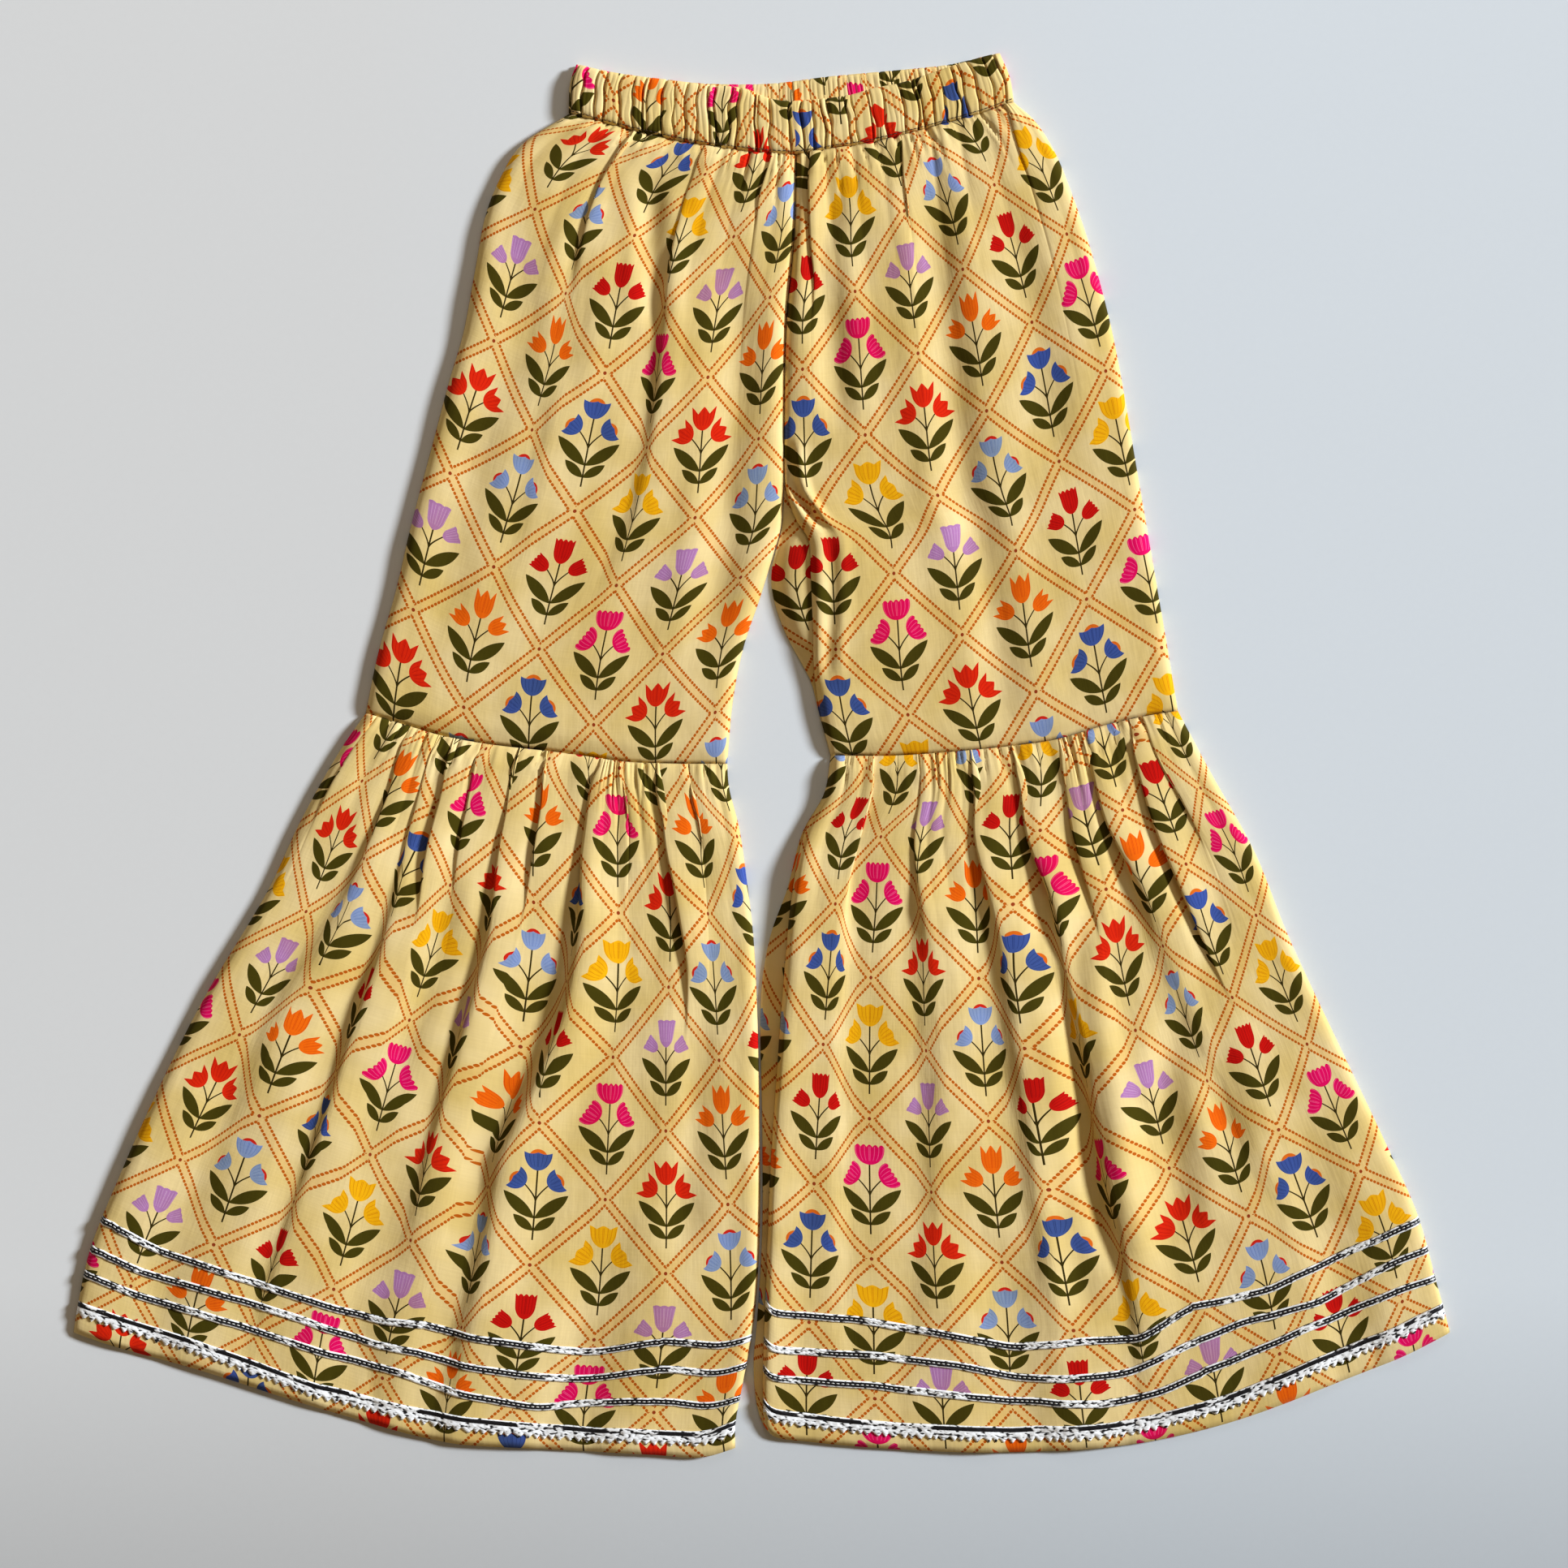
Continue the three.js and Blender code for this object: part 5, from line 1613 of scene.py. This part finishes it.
def build_stitches(name, line, stitch, material):
    """A row of short stitches along a line as one mesh, each of them a slim closed spindle."""
    steps = np.linalg.norm(np.diff(line, axis=0), axis=1)
    along = np.concatenate([[0], np.cumsum(steps)])
    middles = np.arange(stitch["pitch"] / 2, along[-1], stitch["pitch"])
    up = np.array([0, 0, stitch["up"]])
    starts, ends = (
        np.stack([np.interp(middles + shift, along, line[:, axis]) for axis in range(3)], axis=-1) + up
        for shift in (-stitch["length"] / 2, stitch["length"] / 2)
    )
    thread = bmesh.new()
    for a, b in zip(starts, ends):
        forward = Vector(b - a)
        turn = forward.to_track_quat("Z", "Y").to_matrix().to_4x4()
        shape = Matrix.Diagonal((stitch["thickness"], stitch["thickness"], forward.length, 1))
        place = Matrix.Translation(Vector((a + b) / 2 * MM)) @ Matrix.Scale(MM, 4) @ turn @ shape
        bmesh.ops.create_uvsphere(thread, u_segments=5, v_segments=4, radius=0.5, matrix=place)
    mesh = new_mesh(name, thread)
    mesh.polygons.foreach_set("use_smooth", np.ones(len(mesh.polygons), bool))
    mesh.materials.append(material)
    piece = new_object(name, mesh)
    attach(piece, "root")
    return piece


# The casing: its mesh, the heights of its two layers, how its pillows swell and lean, and its walls
CASING = dict(
    columns=660, rows=26, back_rows=20, front_base=3.4, front_swell=1.9, back_base=1.85,
    back_swell=0.5, ridge=5.2, fine=0.3, back_ridge=0.6, spacing=5.8, hidden=0.7,
    wall=0.5, back_wall=1.5, edge=5, back_edge=4, held=6, flat=0.35, frill=0.9, back_frill=0.7,
    frill_reach=8, sway=0.8, sway_reach=8, roll_drop=0.45, roll_in=0.35, ditch=1.6, turned=11,
)


def casing_cloth(u, down):
    """The print runs on from the legs into the casing that is folded from their tops."""
    waist = Curve(OUTLINES["waist"]).length
    left = Curve(OUTLINES["waist_left"]).length / waist
    on_left = u < left
    leg_u = np.where(on_left, u / left, (u - left) / (1 - left))
    places = (grain_at(key, leg_u, leg_u * 0) for key in ("leg_left", "leg_right"))
    across, along = np.where(on_left, *places)
    return np.stack([across, along - down], axis=-1)


def casing_ridges(u, from_stitching, run):
    """Height of the casing's pillows, and how far the print is from where it would lie unhidden."""
    main, inside, _ = tucks(u * run, from_stitching, CASING["spacing"], 61)
    fine = gathers(u * run, from_stitching, 2.7, 67, 0.7)
    return main, fine, CASING["hidden"] * inside


class PANTS_OT_waistband(bpy.types.Operator):
    """Makes the gathered casing round the elastic and its row of stitching"""

    bl_idname = "pants.waistband"
    bl_label = "Waistband"

    def execute(self, context):
        front, stitching = self.front()
        back = self.back()
        return {"FINISHED"}

    def grid(self, key, first_row, rows):
        panel = Panel(*PANELS[key])
        u, v = np.meshgrid(np.linspace(0, 1, CASING["columns"]), np.linspace(first_row, 1, rows))
        height = np.linalg.norm(panel.top.at(u[0]) - panel.bottom.at(u[0]), axis=-1)
        from_stitching = (1 - v) * height
        return panel, u, v, height, from_stitching

    def front(self):
        panel, u, v, height, from_stitching = self.grid("casing_front", -0.12, CASING["rows"])
        run = panel.bottom.length
        main, fine, hidden = casing_ridges(u, from_stitching, run)
        from_end = np.minimum(u, 1 - u) * run
        end = round_off(from_end, CASING["edge"])
        from_top = v * height
        flat = CASING["flat"]
        held = flat + (1 - flat) * round_off(from_stitching, CASING["held"])
        body = round_off(np.maximum(from_top, 0), CASING["edge"]) * held
        relief = CASING["ridge"] * (main - 0.8) + CASING["fine"] * (fine - 0.45)
        swell = CASING["front_swell"] * body + relief * (flat + (1 - flat) * body)
        z = CASING["front_base"] + end * swell
        roll = np.maximum(-from_top, 0)
        z -= roll * CASING["roll_drop"] + SEAM_DITCH * (1 - ease(from_stitching / CASING["ditch"]))
        at = panel.at(u, np.maximum(v, 0))
        frill = CASING["frill"] * (main - 0.7) * ease(1 - from_top / CASING["frill_reach"])
        at[..., 1] += frill - CASING["roll_in"] * roll
        points = np.concatenate([at, z[..., None]], axis=-1)
        sway = CASING["sway"] * crumple(u * run, from_stitching * 0.6, 4.2, 71)
        sideways(points, sway * ease(from_end / CASING["sway_reach"]))
        cloth = casing_cloth(u, from_stitching)
        cloth[..., 0] -= hidden
        name = "waistband_front"
        piece = add_cloth(name, points, cloth, printed_cotton(), CASING["wall"], name)
        return piece, self.stitching(points)

    def back(self):
        panel, u, v, height, from_stitching = self.grid("casing_back", 0, CASING["back_rows"])
        run = panel.bottom.length
        main, fine, hidden = casing_ridges(u + 0.37, from_stitching, run)
        from_end = np.minimum(u, 1 - u) * run
        from_top = v * height
        body = round_off(from_top, CASING["back_edge"]) * round_off(from_end, CASING["back_edge"])
        relief = CASING["back_ridge"] * (main + fine - 1.2)
        z = CASING["back_base"] + CASING["back_swell"] * body + relief * body
        at = panel.at(u, v)
        at[..., 1] += CASING["back_frill"] * (main - 0.5) * ease(1 - from_top / CASING["frill_reach"])
        points = np.concatenate([at, z[..., None]], axis=-1)
        cloth = casing_cloth(1 - u, from_stitching + CASING["turned"])
        cloth[..., 0] += hidden
        name = "waistband_back"
        return add_cloth(name, points, cloth, printed_cotton(), CASING["back_wall"], name)

    def stitching(self, points):
        """One row of dark machine stitches that closes the casing."""
        dark = plain_thread("Dark thread", paint(58, 34, 20))
        return build_stitches("casing_stitching", points[-2], CASING_STITCH, dark)


class PANTS_PT_panel(bpy.types.Panel):
    """Sizes, colours and steps of the pants"""

    bl_idname = "PANTS_PT_panel"
    bl_label = "Tiered ruffle pants"
    bl_space_type = "VIEW_3D"
    bl_region_type = "UI"
    bl_category = "Pants"

    def draw(self, context):
        scene = context.scene
        for group in (scene.pants_print, scene.pants_cloth, scene.pants_stage):
            box = self.layout.box()
            for name in group.__annotations__:
                box.prop(group, name)
        for step in STEPS:
            self.layout.operator(step.bl_idname)


STEPS = (PANTS_OT_stage, PANTS_OT_backs, PANTS_OT_legs, PANTS_OT_tiers, PANTS_OT_waistband)
SETTINGS = (PrintSettings, ClothSettings, StageSettings)


def register():
    for kind in (*SETTINGS, *STEPS, PANTS_PT_panel):
        bpy.utils.register_class(kind)
    bpy.types.Scene.pants_print = PointerProperty(type=PrintSettings)
    bpy.types.Scene.pants_cloth = PointerProperty(type=ClothSettings)
    bpy.types.Scene.pants_stage = PointerProperty(type=StageSettings)


def unregister():
    del bpy.types.Scene.pants_stage
    del bpy.types.Scene.pants_cloth
    del bpy.types.Scene.pants_print
    for kind in reversed((*SETTINGS, *STEPS, PANTS_PT_panel)):
        bpy.utils.unregister_class(kind)


def main():
    register()
    bpy.ops.pants.stage()
    bpy.ops.pants.backs()
    bpy.ops.pants.legs()
    bpy.ops.pants.tiers()
    bpy.ops.pants.waistband()
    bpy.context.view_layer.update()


if __name__ == "__main__":
    main()
